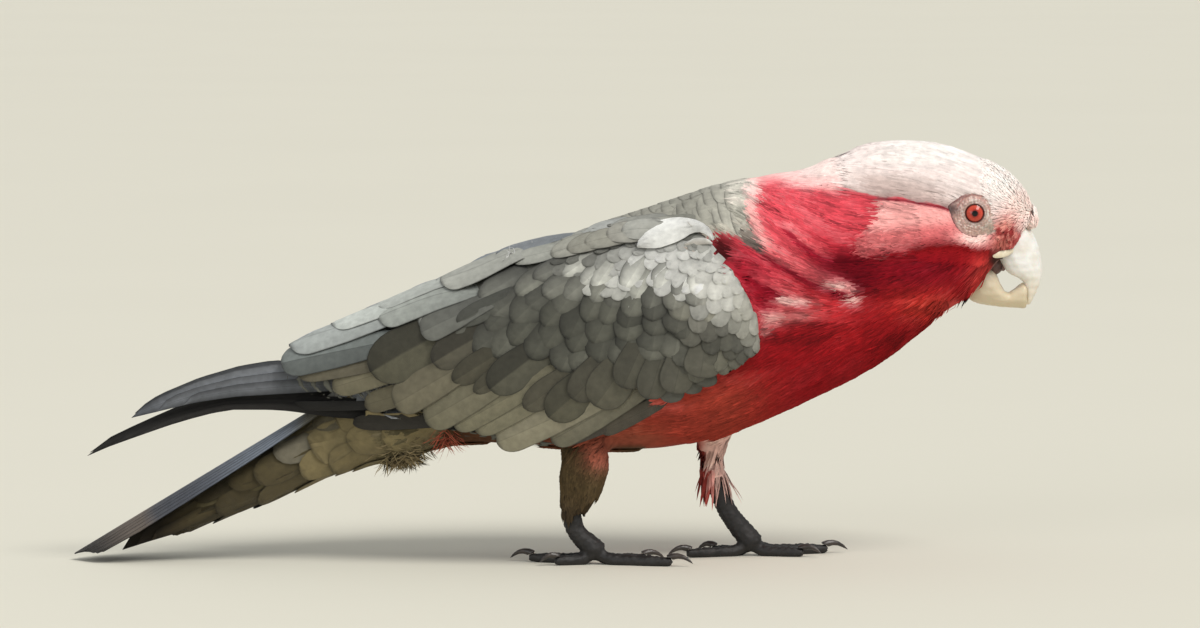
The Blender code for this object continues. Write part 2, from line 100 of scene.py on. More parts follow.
# The way the feathers lie, seen from the right side: place x, z and heading in degrees, where 180 is
# straight back and 90 is up.
LIE = np.array((
    (160, 126, 125), (152, 134, 145), (140, 140, 165), (122, 143, 180), (103, 138, 194), (150, 126, 150),
    (135, 131, 165), (118, 129, 166), (104, 131, 164), (156, 114, 236), (153, 109, 262), (160, 117, 205),
    (150, 121, 165), (136, 121, 170), (147, 108, 196), (130, 115, 176), (112, 113, 178), (120, 106, 184),
    (105, 106, 180), (148, 98, 245), (141, 92, 225), (130, 95, 208), (118, 95, 200), (104, 95, 190), (112, 82, 212),
    (96, 74, 214), (94, 124, 158), (88, 132, 172), (80, 124, 145), (72, 120, 125), (84, 112, 145), (92, 110, 150),
    (76, 104, 150), (88, 98, 155), (98, 90, 165), (78, 90, 175), (72, 76, 200), (84, 64, 214), (60, 130, 186),
    (48, 124, 178), (58, 116, 150), (66, 110, 130), (66, 100, 200), (60, 54, 200), (45, 50, 190), (20, 45, 186),
    (-5, 45, 182), (25, 120, 192), (0, 112, 196), (-30, 98, 205), (-60, 72, 215), (-40, 48, 190), (-60, 42, 200),
    (-90, 35, 205), (55, 35, 262), (55, 28, 264), (12, 34, 256), (8, 27, 262), (6, 20, 262)), float)


# ---------------------------------------------------------------- small helpers

def only(piece):
    """Makes one piece the active and only selected one."""
    for other in bpy.context.selected_objects:
        other.select_set(False)
    piece.select_set(True)
    bpy.context.view_layer.objects.active = piece
    return piece


def edit(piece, act):
    """Runs an edit-mode operator on the whole of a piece."""
    only(piece)
    bpy.ops.object.mode_set(mode="EDIT")
    bpy.ops.mesh.select_all(action="SELECT")
    act()
    bpy.ops.object.mode_set(mode="OBJECT")


def quarter_turn(piece, axis, centre):
    edit(piece, lambda: bpy.ops.transform.rotate(value=math.radians(90), orient_axis=axis, center_override=centre))


def finish_with(piece, kind, **settings):
    """Adds one modifier with these settings and applies it."""
    only(piece)
    modifier = piece.modifiers.new(kind.lower(), kind)
    for key, value in settings.items():
        setattr(modifier, key, value)
    bpy.ops.object.modifier_apply(modifier=modifier.name)


def remesh(piece, voxel, smooth):
    """Even facets of about voxel mm, smoothed."""
    finish_with(piece, "REMESH", mode="VOXEL", voxel_size=voxel * MM)
    finish_with(piece, "SMOOTH", factor=0.5, iterations=smooth)


def node_copy(node, name):
    """An own copy of a CAD node with its loose triangles merged."""
    copy = bpy.data.objects.new(name, frame["nodes"][node].data.copy())
    bpy.context.scene.collection.objects.link(copy)
    copy.data.materials.clear()
    edit(copy, lambda: bpy.ops.mesh.remove_doubles(threshold=2e-5))
    return copy


def ball(name, segments, rings, radius=1.0, centre=(0, 0, 0)):
    bpy.ops.mesh.primitive_uv_sphere_add(segments=segments, ring_count=rings, radius=radius, location=centre)
    piece = bpy.context.object
    piece.name = piece.data.name = name
    return piece


def points_of(piece, key="co"):
    """The places of a piece's points in metres, or their normals."""
    out = np.empty(len(piece.data.vertices) * 3, np.float32)
    piece.data.vertices.foreach_get(key, out)
    return out.reshape(-1, 3).astype(float)


def set_points(piece, co):
    piece.data.vertices.foreach_set("co", np.asarray(co, np.float32).ravel())
    piece.data.update()


def swell(piece, shift):
    """Moves a piece's points out along their normals by shift in mm."""
    set_points(piece, points_of(piece) + points_of(piece, "normal") * np.asarray(shift)[..., None] * MM)


def paint_on(mesh, colours):
    """Keeps the plumage colours (0 to 255) with the mesh."""
    rgba = np.ones((len(colours), 4), np.float32)
    rgba[:, :3] = linear(colours)
    mesh.color_attributes.new("plumage", "FLOAT_COLOR", "POINT").data.foreach_set("color", rgba.ravel())


def hand_over(piece, material, slot, *nodes):
    """Gives a piece its material and body, and says which CAD nodes it replaces; slot is not used."""
    piece.data.shade_smooth()
    piece.data.materials.append(material)
    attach(piece, "root")
    if nodes:
        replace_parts(piece, *nodes)
    return piece


def tree_of(*pieces):
    verts, faces = [], []
    for piece in pieces:
        base = len(verts)
        verts += [v.co[:] for v in piece.data.vertices]
        faces += [[base + i for i in p.vertices] for p in piece.data.polygons]
    return BVHTree.FromPolygons(verts, faces)


def nearest(tree, points):
    """The nearest places on a tree, and the normals there."""
    found = [tree.find_nearest(p)[:2] for p in points.reshape(-1, 3)]
    return (np.array([f[k] for f in found], float).reshape(points.shape) for k in (0, 1))


def hover_over(tree, points, rise):
    """Points moved onto the skin and lifted off it by rise in mm, with the skin's normals."""
    hits, normals = nearest(tree, points)
    return hits + normals * rise[..., None] * MM, normals


def unit(v):
    return v / np.maximum(np.linalg.norm(v, axis=-1, keepdims=True), 1e-12)


def tangent(headings, normals):
    """Headings laid into the surface."""
    flat = headings - normals * np.sum(headings * normals, 1)[:, None]
    bad = np.linalg.norm(flat, axis=1) < 0.15
    flat[bad] = np.cross(normals[bad], (0.0, 1.0, 0.0))
    return unit(flat)


def aim(degrees):
    return np.cos(np.radians(degrees)), np.sin(np.radians(degrees))


def capped(v):
    return np.clip(v, 0, 1)


def step(v, low, high):
    """0 under low, 1 over high, smooth between."""
    t = capped((v - low) / (high - low))
    return t * t * (3 - 2 * t)


def between(v, low, low_full, high_full, high):
    """1 between the two middle values, 0 past the outer ones."""
    return step(v, low, low_full) * (1 - step(v, high_full, high))


def bell(v, width):
    return np.exp(-(v / width) ** 2)


def blob(x, z, cx, cz, rx, rz, gain=1.0):
    """1 at a centre, fading to 0 about an ellipse; gain over 1 widens the full middle."""
    return np.minimum(gain * np.exp(-(((x - cx) / rx) ** 2 + ((z - cz) / rz) ** 2)), 1)


def mix(a, b, t):
    return a * (1 - t[..., None]) + b * t[..., None]


def lay(base, *layers):
    """Lays colours over a base in turn; each layer is a colour and how much of it shows."""
    base = np.asarray(base, float)
    for colour, share in layers:
        base = mix(base, np.asarray(colour, float), share)
    return base


def linear(c):
    c = capped(np.asarray(c, float) / 255)
    return np.where(c <= 0.04045, c / 12.92, ((c + 0.055) / 1.055) ** 2.4)


def wave(x, z, size, seed=0.0):
    """A cheap smooth noise between -1 and 1 over a plane."""
    a, b = x / size + seed, z / size - seed
    return (np.sin(a * 2.1 + 1.3 * np.sin(b * 1.7 + seed)) + np.sin(b * 2.7 + 1.1 * np.sin(a * 1.9))
            + np.sin((a + b) * 1.6 + seed * 2)) / 3


def grain(x, z, size, seed=0.0):
    """Smooth random noise between -1 and 1 over a plane."""
    a, b = x / size + 100.3 * seed, z / size - 57.7 * seed
    i, j = np.floor(a), np.floor(b)
    f, g = step(a - i, 0, 1), step(b - j, 0, 1)

    def corner(p, q):
        h = np.sin(p * 127.1 + q * 311.7) * 43758.5453
        return 2 * (h - np.floor(h)) - 1

    top = corner(i, j) * (1 - f) + corner(i + 1, j) * f
    low = corner(i, j + 1) * (1 - f) + corner(i + 1, j + 1) * f
    return top * (1 - g) + low * g


def noise_of(points, size, seed=0.0):
    return np.array([noise.noise(Vector(p) / size + Vector((seed, seed, seed))) for p in points])


def millimetres(p):
    """Places in the tables of points in metres, with their true y."""
    x, y, z = p.T / MM
    away = np.abs(y)
    return SEEN_MIDDLE + (x - SEEN_MIDDLE) * (1 + away / SEEN_FROM), y, z - SEEN_FALL * away


# ---------------------------------------------------------------- where the markings run

CROWN_EDGE = ((40, 140), (66, 133.5), (78, 131.2), (86, 129.0), (94, 128.6), (101.1, 127.8), (110.1, 125.0),
              (119.4, 124.2), (133.5, 121.8), (141, 121.0), (170, 108))
CHEEK_LOW = ((98, 112), (102.2, 108.6), (105, 104.6), (112, 104.6), (119, 105.6), (124.4, 107.2), (132, 108.8),
             (138, 109.0), (143, 107.6), (148.6, 106.6), (152, 104))
CHEEK_REAR = ((100, 112), (104.6, 104), (109.1, 102.4), (113.2, 105.2), (116.6, 108.8), (122.8, 110.4), (130, 111))
MANTLE_EDGE = ((98, 73), (106, 71.6), (108.4, 71.9), (112, 69), (118, 66.4), (121.4, 65.7), (126, 66.6),
               (133, 68.2), (140, 69))
MANTLE_LOW = ((30, 98), (45, 106), (56, 112.3), (63.7, 110.8), (67, 107.6), (71.5, 105.4), (76, 104))
FOLDS = (  # neck folds: points along the ridge, height, width
    (((79.0, 116.5), (83.5, 111.0), (89.5, 107.0), (95.0, 104.5)), 1.0, 3.4),
    (((71.5, 107.0), (76.0, 103.8), (82.5, 100.5), (89.5, 97.2), (97.0, 94.2), (103.5, 89.5)), 1.6, 4.2),
    (((66.0, 99.0), (75.0, 94.0), (86.0, 89.0)), 0.8, 3.2))
PALE_TIPS = (  # white feather ends on the neck: x, z, half sizes, strength
    (97, 94.5, 4.5, 1.7, 1), (102.5, 90.5, 2.4, 2.6, 1), (83, 89.0, 6, 1.5, 1), (85, 84.5, 5, 2.2, 0.5),
    (75, 84, 5, 2.6, 0.9), (71, 79, 2.6, 1.6, 0.8), (79, 90.2, 2.5, 1.2, 1))
EYE_X, EYE_Z, EYE_RADIUS = 143.1, 120.9, 5.0
RING_SHAPE = ((0, 6.1), (30, 6.4), (60, 6.7), (90, 6.8), (120, 6.9), (145, 7.6), (165, 9.4), (182, 8.0), (205, 7.6),
              (230, 7.9), (255, 8.1), (280, 8.1), (300, 8.6), (318, 10.2), (332, 8.4), (345, 6.6),
              (360, 6.1))  # heading in degrees, outer edge of the bare ring in mm


def along(table, v):
    a = np.array(table, float)
    return np.interp(v, a[:, 0], a[:, 1])


def wing_at(x, *columns):
    return [np.interp(x, WING[:, 0], WING[:, k]) for k in columns]


def wing_edges(x):
    return wing_at(x, 1, 2)


def cheek(x, z):
    """1 on the cheek pad, 0 off it."""
    ragged = 0.7 * wave(x, z, 2.2, 0.4)
    low = step(z - along(CHEEK_LOW, x) + ragged, -0.4, 0.9)
    rear = step(x - along(CHEEK_REAR, z) + ragged, -0.4, 0.9)
    return low * rear * step(along(CROWN_EDGE, x) - z, -0.3, 0.6)


def crown(x, z):
    over = z - along(CROWN_EDGE, x) + 0.8 * wave(x, z, 3.0, 0.9)
    soft = 1 - step(x, 98, 106)  # the nape fades into the rose neck
    return step(over, -0.5 - 4.0 * soft, 0.9 + 1.4 * soft)


def mantle(x, z):
    """1 on the grey back and mantle, 0 on the rose neck."""
    ragged = 1.1 * wave(x, z, 2.6, 0.2)
    behind = step(along(MANTLE_EDGE, z) - x + ragged, -0.6, 1.0)
    return behind * step(z - along(MANTLE_LOW, x) + 0.5 * ragged, -0.5, 0.9)


def folds(x, z):
    """The loose folds of the neck: their height in mm, and 1 under each fold, where painted shade goes."""
    height, fold_shade = np.zeros_like(x), np.zeros_like(x)
    for line, high, width in FOLDS:
        first, last = line[0][0], line[-1][0]
        d = z - along(line, x)
        wide = np.where(d > 0, width, 0.28 * width)
        height += high * bell(d, wide) * between(x, first - 2, first + 3, last - 3, last + 1)
        fold_shade += min(1.0, high) * bell(d + 1.7, 1.3) * between(x, first - 1, first + 3, last - 2, last + 2)
    return height, capped(fold_shade)


def ring_edge(points):
    """Distance past the edge of the bare ring round the eye, in mm, negative inside."""
    x, z = points[:, 0] / MM - EYE_X, points[:, 2] / MM - EYE_Z
    return np.hypot(x, z) - along(RING_SHAPE, np.degrees(np.arctan2(z, x)) % 360)


def relief(points):
    """Height in mm of the feather tracts over the plain body."""
    off_ring = ring_edge(points)
    x, y, z = millimetres(points)
    side = step(np.abs(y), 3.0, 9.0)
    head = step(x, 76, 92)
    edge = z - along(CROWN_EDGE, x)
    under = along(CHEEK_LOW, x) - z
    out = 1.3 * cheek(x, z) - 1.3 * bell(edge, np.where(edge < 0, 1.3, 0.5)) * head * (1 - step(x, 136, 142))
    out += 0.5 * step(edge, 0.3, 2.0) * bell(edge, 9) * head
    out -= 0.6 * (under > 0) * bell(under, 3.2) * between(x, 98, 106, 132, 146)
    out += 1.3 * folds(x, z)[0] + 1.3 * mantle(x, z) * step(x, 40, 55)
    out -= 2.2 * blob(x, z, 57, 106, 5.5, 4.0) + 1.2 * blob(x, z, 71, 92, 3.5, 7.0)
    out *= side
    out += 0.6 * between(x, 100.5, 103.5, 108, 124) * step(z, 128, 136)  # the crest lies over the nape
    out += 1.9 * bell(x - 95, 6) * step(z, 128, 135)
    return out * step(off_ring, 0.2, 3.5) - 0.5 * (1 - step(off_ring, -1.5, 0.3)) * side


def lie_at(points):
    """The heading of the feathers at points (m), as unit vectors in the XZ plane."""
    x, _, z = millimetres(points)
    d2 = (x[:, None] - LIE[None, :, 0]) ** 2 + (z[:, None] - LIE[None, :, 1]) ** 2
    w = np.exp(-d2 / (2 * 6.5 ** 2)) + 1e-6 / (d2 + 1)
    c, s = aim(LIE[:, 2])
    return unit(np.stack((w @ c, np.zeros(len(x)), w @ s), 1))


def combed(points, size, seed=0.6, run=9.0):
    """Soft locks that run along the lie of the feathers, between -1 and 1, at points in m."""
    total = np.zeros(len(points))
    for way in (-1, 1):
        p = points.copy()
        for _ in range(6):
            total += grain(p[:, 0] / MM, (p[:, 2] + 0.8 * p[:, 1]) / MM, size, seed)
            p = p + lie_at(p) * way * run / 6 * MM
    return np.clip(total / 12 * 5 / math.sqrt(size), -1, 1)


def plumage(points):
    """The colour of the coat at points (m), 0 to 255."""
    off_ring = ring_edge(points)
    x, y, z = millimetres(points)
    side = step(np.abs(y), 4, 10)
    fold, fold_shade = folds(x, z)
    pale = sum(strength * blob(x, z, *place) for *place, strength in PALE_TIPS)
    collar = bell(along(MANTLE_EDGE, z) - x + 1.2, 2.8) * step(z, 104, 110)
    pad = lay((240, 166, 162),
              ((213, 112, 113), step(117 - z + 0.10 * (x - 120), 0, 5)), ((196, 88, 92), step(112 - x, 0, 9) * 0.8),
              ((140, 44, 50), bell(z - along(CHEEK_LOW, x), 3) * step(x, 100, 112) * 0.9),
              ((246, 208, 200), blob(x, z, 144.5, 111.6, 6.5, 3.0, 1.3)))
    over = z - along(CROWN_EDGE, x)
    behind = step(103 - x, 0, 7)
    streak = capped(wave(x * 0.30, over * 1.5, 1.0, 0.3)) * between(x, 96, 104, 138, 146)
    cap = lay((236, 222, 218),
              # Painted shade: grey on the crown's lower slope, and darker by its edge.
              ((194, 174, 168), bell(over - 4, 4) * between(x, 100, 112, 128, 140)),
              ((156, 128, 124), bell(over, 2.4) * between(x, 101, 111, 132, 140) * 0.85),
              # Painted highlight on the top of the crown.
              ((240, 232, 228), step(z, 133, 139) * step(x, 106, 122)),
              ((206, 186, 180), streak * (1 - step(over, 9, 15)) * 0.6),
              ((244, 200, 196), behind * (1 - step(over, 1.5, 6.5))),
              ((240, 216, 210), behind * step(over, 3, 7) * 0.8))
    lore = lay((150, 54, 54), ((222, 146, 134), step(grain(x, z, 0.9, 0.7) + 0.1 * (z - 112), -0.5, 0.7)))
    near = step(41 - z, 0, 3) * (x < 30) * (y < 0) * (x > -14)
    far = step(50 - z, -2, 4) * (x > 36) * (y > 0)
    grey = lay((176, 173, 160),
               ((204, 201, 190), step(z, 112, 130)), ((96, 86, 80), blob(x, z, 69.5, 108.5, 4.5, 5.5, 1.3)),
               ((166, 168, 162), step(20 - x, 0, 50)))
    return lay(
        # The deep red low on the breast is partly the bird's own colour and partly painted shade; it turns lighter
        # up the neck.
        (140, 18, 24), ((216, 74, 86), step(z - 0.62 * (x - 60), 62, 96)),  # from the breast to the upper neck
        ((166, 62, 48), step(88 - x, 0, 30) * step(74 - z, 0, 18)),
        ((166, 86, 66), step(46 - x, 0, 20) * step(54 - z, 0, 12)),
        ((92, 60, 40), step(8 - x, 0, 22)), ((104, 96, 72), step(-30 - x, 0, 20)),
        # throat, and painted shadow in the band under the cheek, partly the throat's own deep red
        ((176, 30, 44), blob(x, z, 91, 106, 7, 7) * 0.75), ((92, 0, 14), blob(x, z, 101.5, 99, 12, 6.5, 1.7)),
        ((124, 10, 24), blob(x, z, 124, 100, 15, 5.0, 1.2)), ((200, 58, 46), blob(x, z, 129, 88.5, 14, 5.5) * 0.85),
        ((162, 24, 28), blob(x, z, 103, 81, 10, 7) * 0.7), ((222, 84, 78), blob(x, z, 138, 87, 5.5, 4.5, 1.3) * 0.8),
        ((208, 64, 60), blob(x, z, 146.9, 99.7, 4.6, 6.5, 1.2)), ((206, 56, 62), blob(x, z, 95, 87, 9, 5.0) * 0.75),
        # Painted shade in the dips before the wing, darkest in the notch, over the neck's own deep red.
        ((146, 14, 32), capped(blob(x, z, 66, 98, 7, 9) + blob(x, z, 72, 90, 4, 6)) * 0.9),
        ((74, 18, 22), blob(x, z, 56.5, 107, 4.5, 4.0, 1.3) * side),
        # painted highlights on the neck, painted shade under each fold, and pale feather ends along the collar and
        # the folds
        ((240, 182, 176), capped(collar * 1.1) * 0.85), ((250, 228, 222), blob(x, z, 67, 128, 3.0, 5.5) * 0.9),
        ((142, 14, 36), fold_shade * 0.75), ((232, 118, 120), capped(fold / 1.2) * 0.55),
        ((250, 214, 204), capped(pale) * 0.8), ((206, 92, 84), blob(x, z, 38, 54, 7, 3.0) * 0.7),
        # cheek, crown, forehead and lores
        (pad, cheek(x, z)), (cap, crown(x, z)),
        # Painted shadow along the crease at the crown's lower edge.
        ((110, 20, 32), bell(over + 0.4, 0.55) * between(x, 104, 116, 135, 139) * side * 0.85),
        ((255, 240, 234), blob(x, z, 154, 132, 9, 8, 1.3) * 0.9),
        ((255, 224, 216), blob(x, z, 160, 122, 5.0, 5.5, 1.6)),
        (lore, blob(x, z, 154.6, 113.0, 4.4, 6.0, 1.3) * step(np.abs(y), 3, 7)),
        ((186, 104, 92), blob(x, z, 153.0, 109.4, 3.0, 2.4) * step(np.abs(y), 2, 6) * 0.8),
        # Painted shade inside the open mouth at the corner of the gape.
        ((70, 42, 38), blob(x, z, 152.6, 103.6, 3.2, 2.2, 1.6)),
        # thighs, bare places, and the grey of the mantle and back
        ((80, 66, 44), near), ((60, 50, 40), near * (1 - step(z, 14, 26)) * 0.6),
        ((156, 86, 68), blob(x, z, 15, 37, 5.5, 5.0, 1.3) * (y < 0)), ((176, 74, 66), far),
        ((250, 206, 194), far * step(x + 0.25 * (z - 36) + wave(x, z, 2.4, 0.4), 49, 52.5)),
        ((176, 156, 146), (1 - step(off_ring, -0.9, 0.2)) * (np.abs(y) > 8)), (grey, capped(mantle(x, z))))


# ---------------------------------------------------------------- materials

class Recipe:
    """A material in the making. Each method adds nodes and gives back the last one's output."""

    def __init__(self, name, roughness=0.6, **sockets):
        self.made = bpy.data.materials.new(name)
        self.made.use_nodes = True
        self.shader = self.made.node_tree.nodes["Principled BSDF"]
        for key, value in dict(sockets, Roughness=roughness).items():
            self.plug(self.shader, key.replace("_", " "), value)
        self.place = self.add("TexCoord", {}, "Object")

    def plug(self, node, key, value):
        if isinstance(value, bpy.types.NodeSocket):
            self.made.node_tree.links.new(value, node.inputs[key])
        else:
            node.inputs[key].default_value = value

    def add(self, kind, inputs, output=0, **settings):
        node = self.made.node_tree.nodes.new("ShaderNode" + kind)
        for key, value in settings.items():
            setattr(node, key, value)
        for key, value in inputs.items():
            self.plug(node, key, value)
        return node.outputs[output]

    def noise(self, scale, detail):
        return self.add("TexNoise", {"Scale": scale, "Detail": detail, "Vector": self.place}, "Fac")

    def remap(self, value, low, high, to_low, to_high):
        return self.add("MapRange", {"From Min": low, "From Max": high, "To Min": to_low, "To Max": to_high,
                                     "Value": value}, "Result")

    def blend(self, factor, a, b, kind="MIX"):
        a, b = (c if isinstance(c, bpy.types.NodeSocket) else (*linear(c), 1) for c in (a, b))
        return self.add("Mix", {"Factor": factor, "A": a, "B": b}, "Result", data_type="RGBA", blend_type=kind)

    def mottled(self, colour, scale, detail, low, high):
        return self.blend(1.0, colour, self.remap(self.noise(scale, detail), 0.3, 0.7, low, high), "MULTIPLY")

    def plumage(self):
        return self.add("Attribute", {}, "Color", attribute_name="plumage")

    def finish(self, colour, height=None, distance=0.0):
        """Sets the colour, and a bump of distance mm, and gives back the material."""
        self.plug(self.shader, "Base Color", colour)
        if height:
            self.plug(self.shader, "Normal", self.add("Bump", {"Distance": distance * MM, "Strength": 1.0,
                                                               "Height": height}, "Normal"))
        return self.made


def feather_material(name, roughness, sheen, barb_depth, shine):
    """Plumage: colour from the markings, mottled a little, with barbs that run out from the shaft."""
    made = Recipe(name, roughness, Sheen_Weight=sheen, Sheen_Roughness=0.5, Specular_IOR_Level=shine)
    shaded = made.mottled(made.plumage(), 420, 4, 0.86, 1.12)
    out = made.add("SeparateXYZ", {"Vector": made.add("UVMap", {}, "UV", uv_map="vane")}, "X")
    across = made.add("Math", {0: out}, operation="ABSOLUTE")
    slant = made.add("Math", {0: across, 1: -0.9, 2: out.node.outputs["Y"]}, operation="MULTIPLY_ADD")
    wobble = made.add("Math", {0: made.noise(260, 2), 1: 0.10, 2: slant}, operation="MULTIPLY_ADD")
    ridge = made.add("Math", {0: made.add("Math", {0: wobble, 1: 150.0}, operation="MULTIPLY")}, operation="SINE")
    return made.finish(made.blend(1.0, shaded, made.remap(ridge, -1, 1, 0.90, 1.05), "MULTIPLY"), ridge, barb_depth)


def plain_material(name, base, other, scale, roughness, bump_mm, bump_scale, edge=None, **sockets):
    """Two tones mixed by noise, with a fine relief, and with edge a creamier tone low down."""
    made = Recipe(name, roughness, **sockets)
    tone = made.blend(made.remap(made.noise(scale, 4), 0.35, 0.65, 0, 1), base, other)
    if edge:
        height = made.add("SeparateXYZ", {"Vector": made.place}, "Z")
        tone = made.blend(made.remap(height, 0.088, 0.101, 1, 0), tone, edge)
    return made.finish(tone, made.noise(bump_scale, 5), bump_mm)


def horn(name, base, other, edge):
    return plain_material(name, base, other, 240, 0.42, 0.06, 900, edge,
                          Subsurface_Weight=0.08, Subsurface_Scale=0.002)


def eye_material():
    """Coral iris round a black pupil, by distance from the axis of the eye."""
    made = Recipe("eye", 0.3, Coat_Weight=0.5, Coat_Roughness=0.03, Specular_IOR_Level=0.1)
    shift = made.add("Mapping", {"Location": (-EYE_X * MM, 0, -EYE_Z * MM), "Vector": made.place}, "Vector")
    flat = made.add("VectorMath", {0: shift, 1: (0.25 / MM, 0, 0.25 / MM)}, "Vector", operation="MULTIPLY")
    size = made.add("VectorMath", {0: flat}, "Value", operation="LENGTH")
    rings = made.add("ValToRGB", {"Fac": size}, "Color")
    stops = ((0.0, (6, 5, 6)), (0.235, (6, 5, 6)), (0.27, (134, 40, 34)), (0.42, (188, 62, 46)),
             (0.62, (204, 78, 58)), (0.70, (140, 44, 34)), (0.76, (50, 24, 22)), (1.0, (30, 18, 18)))
    ramp = rings.node.color_ramp
    while len(ramp.elements) < len(stops):
        ramp.elements.new(0.5)
    for element, (at, colour) in zip(ramp.elements, stops):
        element.position = at
        element.color = (*linear(colour), 1)
    return made.finish(made.mottled(rings, 1500, 3, 0.8, 1.15))


def bare_skin_material():
    made = Recipe("bare_skin", 0.55, Subsurface_Weight=0.1, Subsurface_Scale=0.0015)
    return made.finish(made.mottled(made.plumage(), 900, 4, 0.84, 1.12), made.noise(2200, 4), 0.06)


COAT = feather_material("soft_coat", 0.8, 0.0, 0.0, 0.08)
VANE = feather_material("vane", 0.6, 0.04, 0.05, 0.3)
BARE_SKIN = bare_skin_material()
EYE = eye_material()
BILL = horn("upper_horn", (236, 235, 232), (224, 219, 210), (226, 213, 190))
LOWER_BILL = horn("lower_horn", (220, 209, 190), (202, 188, 164), (208, 192, 160))
CERE = plain_material("cere", (255, 244, 238), (250, 226, 216), 500, 0.5, 0.05, 1500)
TONGUE = plain_material("tongue", (150, 120, 116), (110, 84, 82), 400, 0.4, 0.05, 1200)
FOOT = plain_material("foot_skin", (32, 29, 28), (20, 18, 18), 260, 0.6, 0.08, 1400)
CLAW = plain_material("claw", (62, 54, 50), (40, 36, 34), 300, 0.35, 0.03, 1500)
JAW_EDGE = plain_material("jaw_edge", (238, 228, 206), (222, 208, 180), 400, 0.45, 0.03, 1200)
# The gape's dark browns are painted shade inside the mouth.
GAPE = plain_material("gape", (112, 80, 74), (74, 46, 44), 300, 0.5, 0.04, 900)


# ---------------------------------------------------------------- meshes from arrays

def mesh_piece(name, verts, faces, material, uvs, colours, slot=None, soft_normals=None):
    """A piece from arrays: faces of one length, per-vertex uv maps and plumage colours (0 to 255)."""
    mesh = bpy.data.meshes.new(name)
    faces = np.asarray(faces, np.int32)
    count, corners = faces.shape
    mesh.vertices.add(len(verts))
    mesh.vertices.foreach_set("co", np.asarray(verts, np.float32).ravel())
    mesh.loops.add(count * corners)
    mesh.loops.foreach_set("vertex_index", faces.ravel())
    mesh.polygons.add(count)
    mesh.polygons.foreach_set("loop_start", np.arange(0, count * corners, corners, dtype=np.int32))
    mesh.update(calc_edges=True)
    mesh.validate()
    for key, uv in uvs.items():
        mesh.uv_layers.new(name=key).data.foreach_set("uv", np.asarray(uv, np.float32)[faces.ravel()].ravel())
    paint_on(mesh, colours)
    piece = bpy.data.objects.new(name, mesh)
    bpy.context.scene.collection.objects.link(piece)
    hand_over(piece, material, slot)
    if soft_normals is not None:
        mesh.normals_split_custom_set_from_vertices(soft_normals)
    return piece


def unwrap(points):
    """A place on the unwrapped body: along the spine, and round it."""
    centre = (SPINE[:, :2] + SPINE[:, 2:]) / 2
    p = points[:, (0, 2)] / MM
    best, s, up = np.full(len(p), 1e9), np.zeros(len(p)), np.zeros(len(p))
    for i, (a, b) in enumerate(zip(centre, centre[1:])):
        ab = b - a
        t = capped(((p - a) @ ab) / (ab @ ab))
        off = p - (a + t[:, None] * ab)
        d = np.hypot(*off.T)
        near = d < best
        normal = np.array((ab[1], -ab[0])) / np.hypot(*ab)
        normal = normal if normal[1] > 0 else -normal
        best, s, up = np.where(near, d, best), np.where(near, i + t, s), np.where(near, off @ normal, up)
    turn = np.arctan2(points[:, 1] / MM, up)
    return np.stack((0.02 + 0.96 * s / (len(centre) - 1), 0.5 + 0.48 * turn / math.pi), 1)


TUFT_STATIONS = (0.0, 0.34, 0.70, 1.0)  # along a tuft: three rings of three points, and the tip
TUFT_FACES = np.array([f for k in range(2) for a, b in ((0, 1), (1, 2), (2, 0))
                       for f in ((3 * k + a, 3 * k + b, 3 * k + 3 + b), (3 * k + a, 3 * k + 3 + b, 3 * k + 3 + a))]
                      + [(6, 7, 9), (7, 8, 9), (8, 6, 9), (2, 1, 0)])
TUFT_PLACES = np.array([(c, t) for t in TUFT_STATIONS[:3] for c in (-1, 0, 1)] + [(0, 1)], float)


